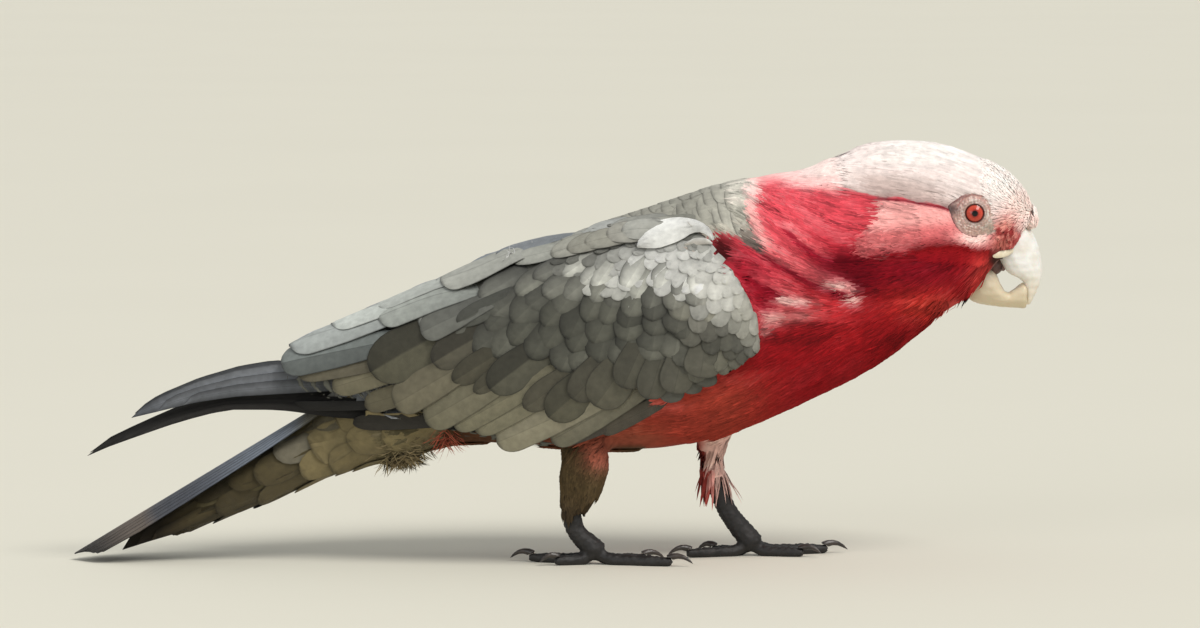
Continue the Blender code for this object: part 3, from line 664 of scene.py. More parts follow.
def grow_tufts(name, tree, roots, headings, length, width, lift, colours, root_shade, slot, stand=None):
    """Closed little locks that lie along the skin. The arrays hold one row per tuft."""
    n = len(roots)
    share = np.array(TUFT_STATIONS)
    stations, normals = nearest(tree, roots[:, None] + headings[:, None] * (length[:, None] * share)[..., None] * MM)
    for j in range(1, 4):  # a lock that would jump to another part of the body runs straight on
        room = length * (share[j] - share[j - 1])
        jump = np.linalg.norm(stations[:, j] - stations[:, j - 1], axis=1) > 1.7 * room * MM
        jump |= np.sum(normals[:, j] * normals[:, j - 1], axis=1) < 0.3
        ahead = stations[:, j - 1] + headings * room[:, None] * MM
        stations[:, j] = np.where(jump[:, None], ahead, stations[:, j])
        normals[:, j] = np.where(jump[:, None], normals[:, j - 1], normals[:, j])
    extra = np.zeros(n) if stand is None else stand
    rise = lift[:, None] * (-0.5, 0.55, 0.95, 0.9) + extra[:, None] * share ** 1.5
    stations += normals * rise[..., None] * MM
    across = unit(np.cross(unit(np.gradient(stations, axis=1)), normals))
    open_air = np.zeros((n, 4, 3))  # grooves and fringes take their light from outside
    open_air[..., 1] = np.clip(stations[..., 1] / (8 * MM), -1, 1)
    open_air[..., 2] = 0.45
    facing = unit(normals + 0.45 * unit(open_air))
    verts, soft = np.zeros((n, 10, 3)), np.zeros((n, 10, 3))
    for j, full in enumerate((0.55, 1.0, 0.72)):
        half = (width * full / 2)[:, None] * MM
        for i, (out, up) in enumerate(((-1, 0), (0, 0.55), (1, 0))):
            verts[:, 3 * j + i] = stations[:, j] + out * across[:, j] * half + up * normals[:, j] * half
            soft[:, 3 * j + i] = facing[:, j] + 0.5 * out * across[:, j]
    verts[:, 9], soft[:, 9] = stations[:, 3], facing[:, 3]
    faces = (TUFT_FACES[None] + 10 * np.arange(n)[:, None, None]).reshape(-1, 3)
    bake = unwrap(roots)[:, None, :] + TUFT_PLACES * (0.0015, 0.003)
    vane = np.broadcast_to(TUFT_PLACES * (1, 0.2), (n, 10, 2))
    # Painted shade toward each tuft's root, where the tufts over it shade it, and a touch lighter at the tip.
    shade = 1 - root_shade * (1 - TUFT_PLACES[:, 1]) + 0.06 * TUFT_PLACES[:, 1]
    paint = np.clip(colours[:, None, :] * shade[None, :, None], 0, 255)
    return mesh_piece(name, verts.reshape(-1, 3), faces, COAT,
                      {"OFBake": bake.reshape(-1, 2), "vane": vane.reshape(-1, 2)},
                      paint.reshape(-1, 3), slot, unit(soft).reshape(-1, 3))


def across_steps(cols):
    """Places across a vane: close to the shaft and to the edges, so that both stay sharp."""
    half = {5: (0.9, 1.0), 7: (0.06, 0.9, 1.0), 9: (0.05, 0.5, 0.92, 1.0)}[cols]
    return np.array([-h for h in half[::-1]] + [0.0] + list(half))


def vane_faces(rows, cols):
    """Quads of a closed blade: top grid, bottom grid and the wall round it."""
    top = np.arange(rows * cols).reshape(rows, cols)
    low = top + rows * cols
    sheets = (top[:-1, :-1], top[:-1, 1:], top[1:, 1:], top[1:, :-1],
              low[:-1, :-1], low[1:, :-1], low[1:, 1:], low[:-1, 1:])
    rim = np.concatenate((top[0], top[1:, -1], top[-1, -2::-1], top[-2:0:-1, 0]))
    after = np.roll(rim, -1)
    wall = np.stack((after, rim, rim + rows * cols, after + rows * cols), -1)
    return np.concatenate((np.stack(sheets, -1).reshape(-1, 4), wall))


def blades(name, tops, normals, thick, patch_at, patch_size, paint, slot=None):
    """Joined vanes. tops, normals and paint are (count, rows, cols, 3); patch_at is each one's place on OFBake."""
    n, rows, cols, _ = tops.shape
    verts = np.stack((tops, tops - normals * thick * MM), 1).reshape(-1, 3)
    faces = vane_faces(rows, cols)[None] + 2 * rows * cols * np.arange(n)[:, None, None]
    flat = np.cross(np.gradient(tops, axis=2), np.gradient(tops, axis=1))
    flips = np.sum(flat * normals, axis=(1, 2, 3)) < 0
    faces = np.where(flips[:, None, None], faces[:, :, ::-1], faces).reshape(-1, 4)
    local = np.stack(np.meshgrid(across_steps(cols), np.linspace(0, 1, rows)), -1)
    bake = np.asarray(patch_at)[:, None, None, :] + local * 0.5 * np.asarray(patch_size) * (1, 2)
    bake = np.stack((bake, bake), 1).reshape(-1, 2)
    vane = np.broadcast_to(local, (n, 2, rows, cols, 2)).reshape(-1, 2)
    colours = np.stack((paint, paint * 0.8), 1).reshape(-1, 3)
    flat = unit(-flat)
    flat *= np.sign(np.sum(flat * normals, -1, keepdims=True))
    flat = np.where(np.abs(flat).sum(-1, keepdims=True) > 0.1, flat, normals)
    return mesh_piece(name, verts, faces, VANE, {"OFBake": bake, "vane": vane}, colours, slot,
                      np.stack((flat, -flat), 1).reshape(-1, 3))


# ---------------------------------------------------------------- skin

SKIN_OVER = ("head", "neck", "trunk", "rump", "crest", "undertail", "thigh_R", "thigh_L", "wing_R", "wing_L")
SKIN_UNDER = ("eye_R", "eye_L")  # filled in, and hidden inside the real pieces


def wing_side(x, z):
    """Distance in mm of the folded wing's outer face from the middle plane."""
    apex, bottom, half = wing_at(x, 3, 4, 5)
    u = np.clip((z - (apex + bottom) / 2) / ((apex - bottom) / 2), -0.985, 0.985)
    return half * (1 - u * u) ** (WING_FULLNESS / 2)


def coat_depth(x, y, z):
    """How far in mm the skin lies under the outline."""
    seen = z - SEEN_FALL * np.abs(y)
    depth = 1.1 + 0.7 * step(112 - x, 0, 30) + 0.5 * step(70 - z, 0, 20) * step(90 - x, 0, 30)
    depth = depth + (0.3 - depth) * step(x, 140, 150)
    out = wing_side(x, seen)
    under_wing = np.interp(x, (-94, -30, 69), (0.55, 1.0, 1.2))
    return depth + (under_wing - depth) * step(np.abs(y), out - 4.5, out - 2.5) * (x < 70)


def on_wing(p, depth=4.0):
    """True for points of the skin on the outer face of the folded wing."""
    x, y, z = p[:, 0] / MM, np.abs(p[:, 1]) / MM, p[:, 2] / MM
    z = z - SEEN_FALL * y
    upper, lower = wing_edges(x)
    return (x < 72) & (x > -96) & (z < upper + 2) & (z > lower - 2) & (y > wing_side(x, z) - depth)


def make_skin():
    """One closed skin round the body, a little under the outline, with the relief of the feather tracts."""
    copies = [node_copy(node, "skin_part") for node in SKIN_OVER + SKIN_UNDER]
    for copy in copies:
        swell(copy, 0.4)
        copy.select_set(True)
    bpy.context.view_layer.objects.active = copies[0]
    bpy.ops.object.join()
    skin = only(bpy.context.view_layer.objects.active)
    skin.name = skin.data.name = "skin"
    remesh(skin, 1.15, 5)
    co = points_of(skin)
    x, y, z = (co / MM).T
    shift = relief(co) * step(x, 38, 44) - coat_depth(x, y, z) - 0.4
    swell(skin, shift + 0.34 * combed(co, 2.0) * step(x, 60, 75) * step(ring_edge(co), 0.5, 3.0))
    remesh(skin, 1.05, 2)
    co = points_of(skin)
    x, y, z = (co / MM).T
    colours, wing = plumage(co), on_wing(co, 7.0)
    colours[wing] = wing_tone(x[wing], z[wing])
    seen_x, _, seen_z = millimetres(co)
    # The skin is painted darker than the plumage over it, as painted shade down between the tufts, less so under the
    # crown.
    colours *= 0.88 + 0.10 * crown(seen_x, seen_z)[:, None]
    # The dark at the corner of the gape is painted shade inside the open mouth.
    colours = lay(colours, ((126, 92, 88), blob(x, z, 151.5, 101.5, 2.6, 4.0, 1.5) * (np.abs(y) < 8.5)))  # the gape
    paint_on(skin.data, colours)
    return hand_over(skin, COAT, "rose_plumage", *SKIN_OVER)


# ---------------------------------------------------------------- wing feathers

WING_CENTRE = (60.0, 125.0)  # the feathers of the wing fan out from here
WING_REACH = ((-170, 100), (-166, 118), (-163, 150), (-158, 165), (-150, 148), (-142, 129), (-130, 114), (-121, 91),
              (-110, 76), (-100, 62), (-75, 43))  # heading in degrees, reach in mm


def reach(angle):
    return along(WING_REACH, angle)


def wing_normals(x, z, side):
    dx = wing_side(x + 0.5, z) - wing_side(x - 0.5, z)
    dz = wing_side(x, z + 0.5) - wing_side(x, z - 0.5)
    return unit(np.stack((-dx, side * np.ones_like(x), -dz), -1))


def vane_outline(rows, tip):
    """Places along a vane, closer together near its end, and its half width there: a round end."""
    straight = max(2, rows // 2)
    turn = np.linspace(0, math.pi / 2, rows - straight + 1)[1:]
    v = np.concatenate((np.linspace(0, 1 - tip, straight), 1 - tip + tip * np.sin(turn)))
    outline = np.concatenate((np.minimum(1.0, 0.7 + 0.5 * v[:straight]), np.cos(turn) ** 0.85))
    outline[-1] = 0.10
    return v, outline


def wing_grid(side, tip_x, tip_z, heading, length, width, lift, tilt, camber, rows, tip, base, dip=0.4, tree=None):
    """Vanes of nine columns laid on the folded wing, or on a tree; tip rounds the end, dip lowers it."""
    v, outline = vane_outline(rows, tip)
    u = across_steps(9)
    c, s = (part[:, None, None] for part in aim(heading))
    run = (length[:, None] * (v - 1))[:, :, None]
    off = (width / 2)[:, None, None] * outline[None, :, None] * u
    x = tip_x[:, None, None] + run * c + off * s
    z = np.minimum(tip_z[:, None, None] + run * s - off * c, wing_at(x, 3)[0] - 1.0)
    y = wing_side(x, z)
    ends = dip * capped((v - 0.7) / 0.3) ** 2 + 2.0 * (1 - capped(v / 0.16))
    rise = (base * np.ones(len(tip_x)))[:, None, None] + (lift[:, None] * v - ends)[:, :, None]
    rise = rise + tilt * u - camber * u ** 2
    points = np.stack((x, side * y, z + SEEN_FALL * y), -1) * MM
    if tree is None:
        normals = wing_normals(x, z, side)
        points = points + normals * rise[..., None] * MM
    else:
        points, normals = hover_over(tree, points, rise + 1.2)
    return points, normals, np.broadcast_to(v[None, :, None], x.shape), np.broadcast_to(u, x.shape)


def vane_paint(inner, edge, v, u, shaft=0.9, tip_edge=0.96, border=0.89, web_shades=(1.0, 1.0), soft=0.0):
    """Colour of a vane: inner colour, an edge colour along its rim that stands partly for the feather's own edge and
    partly for painted shadow, a darker shaft, a painted shade for each web, and with soft a painted shading lighter
    in the middle and darker at the sides.
    """
    rim = np.maximum(capped((np.abs(u) - border) / (1 - border)), capped((v - tip_edge) / (1 - tip_edge)) ** 1.5)
    out = mix(inner[:, None, None, :], edge[:, None, None, :], rim)
    web = np.where(u > 0.03, web_shades[1], np.where(u < -0.03, web_shades[0], shaft))
    return out * (web * (1 + soft * (0.5 - u ** 2)))[..., None]


def shoulder(x, z):
    """1 on the pale front of the wing."""
    return capped(blob(x, z, 42, 104, 26, 9, 1.2) + blob(x, z, 64, 92, 8, 12, 1.2))


def wing_tone(x, z):
    """Grey of the wing at a place; the dark grey over the middle of the wing is partly its own tone and partly
    painted shade.
    """
    return lay((100, 100, 92), ((74, 74, 66), blob(x, z, 2, 74, 32, 13, 1.3)),
               ((226, 226, 216), blob(x, z, 14, 97, 16, 6, 1.2)), ((214, 214, 204), blob(x, z, 30, 95, 13, 6) * 0.9),
               ((98, 96, 86), blob(x, z, 50, 83, 11, 5)), ((255, 255, 250), blob(x, z, 42, 102, 22, 8.5, 1.7)),
               ((255, 254, 246), blob(x, z, 58, 95, 12, 9, 1.5)), ((218, 216, 204), blob(x, z, 67, 87, 5, 10, 1.3)),
               ((122, 120, 106), blob(x, z, 55, 69, 10, 8, 1.2) * 0.9),
               ((150, 152, 148), step(-x, 20, 44) * step(z, 76, 86)))


# Long feathers of the folded wing, each lying over the ones before it:
# tip x, tip z, heading, length, width, base height, lift, share of the tone left on the upper web (under 1 it is
# painted shade), and grey.
FLIGHT = (
    (-92.0, 52.2, -178, 48, 3.2, -1.4, 0.2, 1.0, 30, 28, 26),
    (-70.4, 46.8, -177, 50, 5.6, -1.2, 0.3, 1.0, 48, 44, 37),
    (15.0, 44.6, -154, 26, 6.0, -0.9, 0.4, 1.0, 90, 84, 72),
    (0.0, 41.4, -163, 24, 6.0, -0.9, 0.4, 1.0, 84, 78, 68),
    (-2.0, 41.5, -150, 40, 10, -0.8, 0.5, 1.0, 126, 122, 104),
    (-20.6, 41.0, -156, 46, 11.5, -0.5, 0.6, 0.94, 158, 152, 130),
    (-28.0, 45.4, -152, 44, 9.0, -0.4, 0.6, 0.94, 142, 137, 114),
    (-35.0, 46.6, -151, 44, 9.0, -0.3, 0.6, 0.94, 138, 133, 110),
    (-45.0, 48.6, -150, 42, 12.5, -0.2, 0.6, 0.92, 130, 125, 104),
    (-55.6, 54.2, -150, 38, 12.5, -0.05, 0.6, 0.92, 124, 118, 98),
    (-66.0, 53.6, -162, 36, 8.0, -0.7, 0.4, 1.0, 110, 104, 84),
    (-77.0, 59.8, -163, 40, 9.0, -0.6, 0.5, 1.0, 124, 118, 96),
    (-88.5, 64.2, -171, 40, 6.5, -0.4, 0.5, 1.0, 116, 110, 92),
    (-94.6, 68.0, -168, 44, 11.0, 0.0, 0.8, 1.25, 100, 105, 103),
    (-91.8, 74.6, -162, 46, 11.5, 0.2, 0.9, 1.05, 168, 173, 170),
    (-77.5, 82.0, -160, 40, 9.5, 0.25, 0.9, 1.04, 200, 205, 199),
    (-61.0, 83.6, -158, 36, 11.0, 0.35, 0.9, 1.06, 158, 162, 156),
    (-62.0, 88.6, -157, 36, 8.0, 0.3, 0.7, 1.0, 186, 190, 184),
    (-46.0, 78.5, -152, 30, 10.0, 0.4, 0.9, 0.9, 116, 117, 110),
    (-39.6, 96.6, -155, 34, 9.5, 0.5, 0.9, 1.0, 172, 173, 165))
GREATER = (
    (-63.4, 65.2, -150, 36, 18.0, 0.05, 1.0, 0.66, 94, 91, 74),
    (-33.5, 82.0, -150, 26, 8.0, 0.5, 0.9, 0.9, 100, 101, 93),
    (-42.0, 68.4, -149, 30, 12.5, 0.1, 1.1, 0.68, 98, 94, 80),
    (-35.2, 62.2, -148, 30, 9.5, 0.0, 1.1, 0.84, 98, 94, 78),
    (-28.0, 58.6, -147, 28, 7.5, 0.0, 1.1, 0.9, 104, 100, 84),
    (-22.6, 59.6, -143, 28, 13.5, 0.1, 1.2, 0.68, 98, 96, 82),
    (-11.0, 53.2, -145, 28, 10, 0.0, 1.1, 0.9, 106, 102, 86),
    (-2.6, 50.2, -139, 27, 14, 0.1, 1.2, 0.78, 104, 101, 84),
    (5.4, 56.5, -133, 25, 12, 0.3, 1.2, 0.9, 94, 91, 78),
    (13.0, 54.2, -127, 24, 15.5, 0.2, 1.2, 0.88, 104, 101, 86),
    (22.5, 60.4, -115, 20, 12, 0.45, 1.2, 0.92, 92, 90, 78),
    (31.0, 56.6, -109, 19, 11.5, 0.3, 1.2, 0.94, 98, 96, 84),
    (39.5, 58.4, -104, 16, 12, 0.45, 1.1, 0.94, 104, 102, 90),
    (48.5, 63.8, -102, 13, 13, 0.5, 1.0, 0.96, 108, 106, 94))
MEDIAN_ROWS = (  # tips as a part of the reach, and spacing in mm
    (0.70, 8.0), (0.64, 7.6), (0.58, 7.2), (0.52, 6.6), (0.46, 6.0), (0.40, 5.4))


def placed_feathers(name, side, table, tilt, tip, rows=12, tree=None, under=0.0):
    """Vanes set one by one from a table; under sinks their roots by so many mm and paints them a little darker, as
    painted shade.
    """
    x, z, heading, length, width, base, lift, web, *tone = np.array(table, float).T
    # Feathers that lie under others are painted a little darker, as shade.
    tone = np.stack(tone, 1) * (0.93 if under else 1.0)
    grid, normals, v, u = wing_grid(side, x, z, heading, length, width, lift + under, tilt, 0.25, rows, tip,
                                    base - under, tree=tree)
    # Rims darker, partly own edge and partly painted shadow, a faint painted shading lighter in the middle, painted
    # shade on the upper web where its share is under 1, and painted shade toward the root under the feather above.
    paint = vane_paint(tone, tone * 0.72, v, u, shaft=0.86, border=0.94, soft=0.06)
    paint = paint * np.where(u > 0.03, web[:, None, None], 1.0)[..., None] * (0.90 + 0.10 * v[..., None])
    patch = np.stack(((x + 105) / 190, 0.04 + 0.5 * (z - 35) / 70), 1)
    return blades(name, grid, normals, 0.2, patch, (0.03, 0.03), paint)


def make_median_coverts(side, tag):
    """Rounded feathers in staggered rows over the middle of the wing."""
    rows = []
    for k, (tip, gap) in enumerate(MEDIAN_ROWS):
        angles = [-158 + 3.0 * (k % 2)]
        while angles[-1] < -98:
            angles.append(angles[-1] + np.degrees(gap / tip / reach(angles[-1])))
        angles = np.array(angles[:-1])
        rows += [(angle, tip, gap) for angle in angles + RNG.uniform(-1.2, 1.2, len(angles))]
    angles, tip, gap = np.array(rows).T
    room = reach(angles)
    out = room * (tip + 0.06 * step(angles, -130, -112) + RNG.uniform(-0.016, 0.016, len(angles)))
    x, z = (centre + out * part for centre, part in zip(WING_CENTRE, aim(angles)))
    keep = (shoulder(x, z) < 0.45) & (z > wing_edges(x)[1] + 5) & (z < wing_edges(x)[0] - 6)
    angles, tip, gap, room, x, z = (part[keep] for part in (angles, tip, gap, room, x, z))
    n = len(x)
    heading = angles + np.interp(-angles, (104, 125, 142, 158), (8, 18, 20, 8)) + RNG.uniform(-7, 7, n)
    width = gap * 1.62 * RNG.uniform(0.9, 1.12, n)
    grid, normals, v, u = wing_grid(side, x, z, heading, np.clip(0.155 * room, 13, 22), width,
                                    RNG.uniform(1.7, 2.1, n), 0.2, 0.5, 11, 0.5, -1.1, dip=0.7)
    tone = wing_tone(x, z) * RNG.uniform(0.8, 1.12, (n, 1))
    # Rims darker, partly their own edge and partly painted shadow; painted shading lighter in the middle; then
    # painted shade toward the root under the row above, and at the very tip.
    paint = vane_paint(tone, tone * 0.62, v, u, shaft=0.95, border=0.9, web_shades=(1.03, 0.95), soft=0.32)
    paint = paint * (0.60 + 0.46 * capped(v * 1.2) - 0.12 * step(v, 0.88, 1.0))[..., None]
    patch = np.stack(((angles + 172) / 100, 0.9 * tip + 0.02), 1)
    return blades(f"median_coverts_{tag}", grid, normals, 0.2, patch, (0.02, 0.02), paint)


def spaced(points, gaps):
    """Picks points in turn that are no closer to each other than their gaps."""
    chosen, kept = [], np.empty((0, points.shape[1] + 1))
    for i, row in enumerate(np.column_stack((points, gaps))):
        if len(kept) and np.min(np.linalg.norm(kept[:, :-1] - row[:-1], axis=1) / ((kept[:, -1] + row[-1]) / 2)) < 1:
            continue
        kept = np.vstack((kept, row))
        chosen.append(i)
    return chosen


def make_lesser_coverts(side, tag):
    """Small feathers scattered over the front and top of the wing."""
    rng = np.random.default_rng(5)
    x, z = rng.uniform(-44, 71, 30000), rng.uniform(46, 118, 30000)
    away = np.stack((x - WING_CENTRE[0], z - WING_CENTRE[1]))
    angle, out = np.degrees(np.arctan2(away[1], away[0])), np.hypot(*away)
    share = out / reach(np.clip(angle, -170, -75))
    pale = shoulder(x, z)
    upper, lower = wing_edges(x)
    inside = (share < 0.40) | (pale > 0.3) | ((angle > -108) & (z > lower + 1.6))
    inside &= (z < upper - 0.2) & (z > lower + 1.6) & (x < 70.0) & (angle < -60)
    gap = np.interp(share, (0.1, 0.3, 0.54, 0.8), (2.9, 3.5, 4.6, 5.0))
    gap = gap * (1 - 0.28 * step(x, 44, 64)) * (1 - 0.12 * pale)
    places = np.stack((x, z, gap, angle, out, pale, upper, lower), 1)[inside]
    x, z, gap, angle, out, pale, upper, lower = places[spaced(places[:, :2], places[:, 2])].T
    n = len(x)
    heading = -104 - 30 * step(z, 88, 100) * step(x, 12, 30) - 26 * step(z, 84, 94) * (1 - step(x, 4, 14))
    heading = heading + RNG.uniform(-8, 8, n)
    length = np.minimum(gap * 2.7 * RNG.uniform(0.85, 1.15, n), 3.0 + 1.3 * (z - lower))
    width = gap * 1.8 * RNG.uniform(0.9, 1.15, n)
    c, s = aim(heading)
    ahead = np.stack((c, np.zeros(n), s), 1)
    away = wing_side(x, z)
    normals = wing_normals(x, z, side)
    back = np.minimum(0.5 * length, np.minimum(70.4 - x, upper - z) + 0.6)
    roots = (np.stack((x, side * away, z + SEEN_FALL * away), 1) - tangent(ahead, normals) * back[:, None]) * MM
    tone = wing_tone(x, z) * RNG.uniform(0.84, 1.1, (n, 1)) ** (1 - 0.8 * pale)[:, None]
    patch = np.stack(((np.clip(angle, -172, -73) + 172) / 100, 0.02 + 0.9 * out / reach(angle)), 1)
    lift = (0.5 + 0.16 * gap) * (1 - 0.35 * pale)
    # Their rims are darker, partly their own edge and partly painted shadow, less so on the pale shoulder.
    return body_feathers(f"lesser_coverts_{tag}", roots, normals, ahead, length, width, lift,
                         tone, tone * (0.70 + 0.29 * pale)[:, None], patch, 0.5, 7, 0.3, base=0.9, border=0.9,
                         soft=0.12, flat=np.where((x > 57) | (upper - z < 5), 99, 0.7)[:, None, None, None])


def body_feathers(name, roots, normals, headings, length, width, lift, tone, edge, patch_at, tip, rows, camber,
                  cols=5, slot=None, border=0.86, base=0.0, tip_edge=0.96, soft=0.0, flat=None):
    """Overlapping rounded feathers on the body. With flat, each under 9 bends by no more than that many mm."""
    v, outline = vane_outline(rows, tip)
    u = across_steps(cols)
    ahead = tangent(headings, normals)
    across = unit(np.cross(ahead, normals))
    points = (roots[:, None, None, :] + ahead[:, None, None, :] * (length[:, None] * v)[:, :, None, None] * MM
              + across[:, None, None, :] * (width[:, None, None] / 2 * outline[:, None] * u)[..., None] * MM)
    shape = points.shape[:3]
    rise = (base + lift[:, None, None] * (v[None, :, None] * 1.15 - 0.15) - camber * u ** 2
            + RNG.uniform(-0.12, 0.12, len(roots))[:, None, None] * u + np.where(np.abs(u) < 0.01, 0.05, 0))
    grid, grid_normals = hover_over(SKIN_TREE, points, np.broadcast_to(rise, shape))
    if flat is not None:
        out = np.repeat(normals[:, None, None, :], rows, 1).repeat(cols, 2)
        off = np.sum((grid - grid_normals * rise[..., None] * MM - points) * out, -1) / MM
        middle = np.median(off, axis=(1, 2), keepdims=True)
        off = np.clip(off, middle - flat[..., 0], middle + flat[..., 0]) + rise
        grid = np.where(flat > 9, grid, points + out * off[..., None] * MM)
        grid_normals = np.where(flat > 9, grid_normals, out)
    v, u = np.broadcast_to(v[None, :, None], shape), np.broadcast_to(u, shape)
    # Painted shade toward the root, where the feathers over it lie, with rims from the edge colour that are partly
    # painted shadow.
    paint = vane_paint(tone, edge, v, u, 0.95, tip_edge, border, soft=soft) * (0.88 + 0.12 * v[..., None])
    return blades(name, grid, grid_normals, 0.16, patch_at, (0.003, 0.003), paint, slot)


# ---------------------------------------------------------------- scattering over the skin

def triangles_of(piece):
    """The corners of a piece's triangles in metres, as three arrays."""
    piece.data.calc_loop_triangles()
    corners = np.empty(len(piece.data.loop_triangles) * 3, np.int32)
    piece.data.loop_triangles.foreach_get("vertices", corners)
    return points_of(piece)[corners.reshape(-1, 3).T]


def scatter_on(corners, keep, count, seed):
    """Evenly spread points on the triangles where keep is true, with their normals."""
    a, b, c = corners
    cross = np.cross(b - a, c - a)
    total = np.cumsum(np.linalg.norm(cross, axis=1) / 2 * keep)
    rng = np.random.default_rng(seed)
    pick = np.searchsorted(total, (np.arange(count) + rng.random(count)) / count * total[-1])
    pick = np.clip(pick, 0, len(total) - 1)
    r1, r2 = np.sqrt(rng.random(count)), rng.random(count)
    spots = a[pick] * (1 - r1)[:, None] + b[pick] * (r1 * (1 - r2))[:, None] + c[pick] * (r1 * r2)[:, None]
    return spots, unit(cross[pick])


def swung(points, normals, degrees):
    """The lie of the feathers on the surface, each turned by so many degrees."""
    ahead = tangent(lie_at(points), normals)
    c, s = aim(degrees)
    return unit(ahead * c[:, None] + np.cross(normals, ahead) * s[:, None])


def feather_tract(name, gap, lift, tone_at, edge, seed, rows, camber, turn=5, border=0.6):
    """Rounded overlapping feathers, about gap mm apart, over one part of the skin."""
    spots, normals = scatter_on(CORNERS, REGIONS[name], 9000, seed)
    order = np.random.default_rng(seed).permutation(len(spots))
    spots, normals = spots[order], normals[order]
    chosen = spaced(spots, np.full(len(spots), gap * MM))
    spots, normals = spots[chosen], normals[chosen]
    n = len(spots)
    ahead = swung(spots, normals, RNG.normal(0, turn, n))
    length = gap * 3.0 * RNG.uniform(0.88, 1.12, n)
    tone = tone_at(spots) * RNG.uniform(0.93, 1.06, (n, 1))
    roots = spots - ahead * (0.5 * length)[:, None] * MM
    # tone * edge gives darker rims, partly their own edge and partly painted shadow.
    return body_feathers(name, roots, normals, ahead, length, np.full(n, gap * 1.6), np.full(n, lift), tone,
                         tone * edge, unwrap(spots), 0.42, rows, camber, slot="grey_plumage", border=border)


def sized(value, points):
    return value(points) if callable(value) else np.full(len(points), float(value))


def coat(name, count, length, width, lift, seed, turn, root_shade, streaky, vary=0.05, dark=0.0, stand=None,
         slot="rose_plumage"):
    """One piece of soft tufts. Length, width and lift are numbers in mm or functions of the points."""
    spots, normals = scatter_on(CORNERS, REGIONS[name], count, seed)
    rng = np.random.default_rng(seed + 100)
    x, _, z = millimetres(spots)
    fluff = cheek(x, z) * (1 - step(spots[:, 2] / MM, 116, 120))
    ahead = swung(spots, normals, rng.normal(0, 1, count) * (turn + 9 * fluff))
    length = sized(length, spots) * rng.uniform(0.75, 1.25, count) * (1 - 0.35 * fluff)
    colours = plumage(spots + ahead * (0.55 * length)[:, None] * MM)
    luck = rng.random(count)
    # Light and dark streaks along the locks: painted highlights and painted shade of the clumped locks; the painted
    # highlights fade out on dark colours.
    lines = 0.7 * combed(spots, 1.0, 0.3) + 0.7 * combed(spots, 2.0)
    colours = colours * (rng.normal(1, vary, count) + streaky * np.minimum(lines, 0))[:, None]
    bright = capped(colours.mean(1) / 120) ** 2
    colours = lay(colours, ((255, 228, 222), streaky * 0.8 * bright * np.maximum(lines, 0)))
    rng.random(count)  # one draw is passed over, so that the later ones stay as they are
    colours = colours * np.where(luck > 1 - dark, rng.uniform(0.68, 0.88, count), 1)[:, None]
    width = sized(width, spots) * rng.uniform(0.75, 1.25, count)
    lift = sized(lift, spots) * rng.uniform(0.7, 1.3, count)
    if stand:
        stand = stand(spots) * rng.uniform(0.2, 1.0, count)
    return grow_tufts(name, SKIN_TREE, spots, ahead, length, width, lift, colours, root_shade, slot, stand)


# ---------------------------------------------------------------- eyes

def make_eye(side, tag):
    low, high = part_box(f"eye_{tag}")
    outer = (high[1] if side > 0 else -low[1]) / MM
    centre = Vector((EYE_X * MM, side * (outer - EYE_RADIUS) * MM, EYE_Z * MM))
    eye = ball(f"eyeball_{tag}", 64, 40, EYE_RADIUS * MM, centre)
    quarter_turn(eye, "X", centre)
    bpy.ops.object.transform_apply(location=True, rotation=True, scale=True)
    co = points_of(eye)
    out = (co - np.array(centre)) / (EYE_RADIUS * MM)
    bulge = capped(side * out[:, 1] - 0.86) / 0.14  # the clear cornea stands a little proud
    co[:, 1] += side * 0.32 * MM * bulge ** 0.8
    set_points(eye, co)
    hand_over(eye, EYE, "eye", f"eye_{tag}")
    return side * centre.y / MM


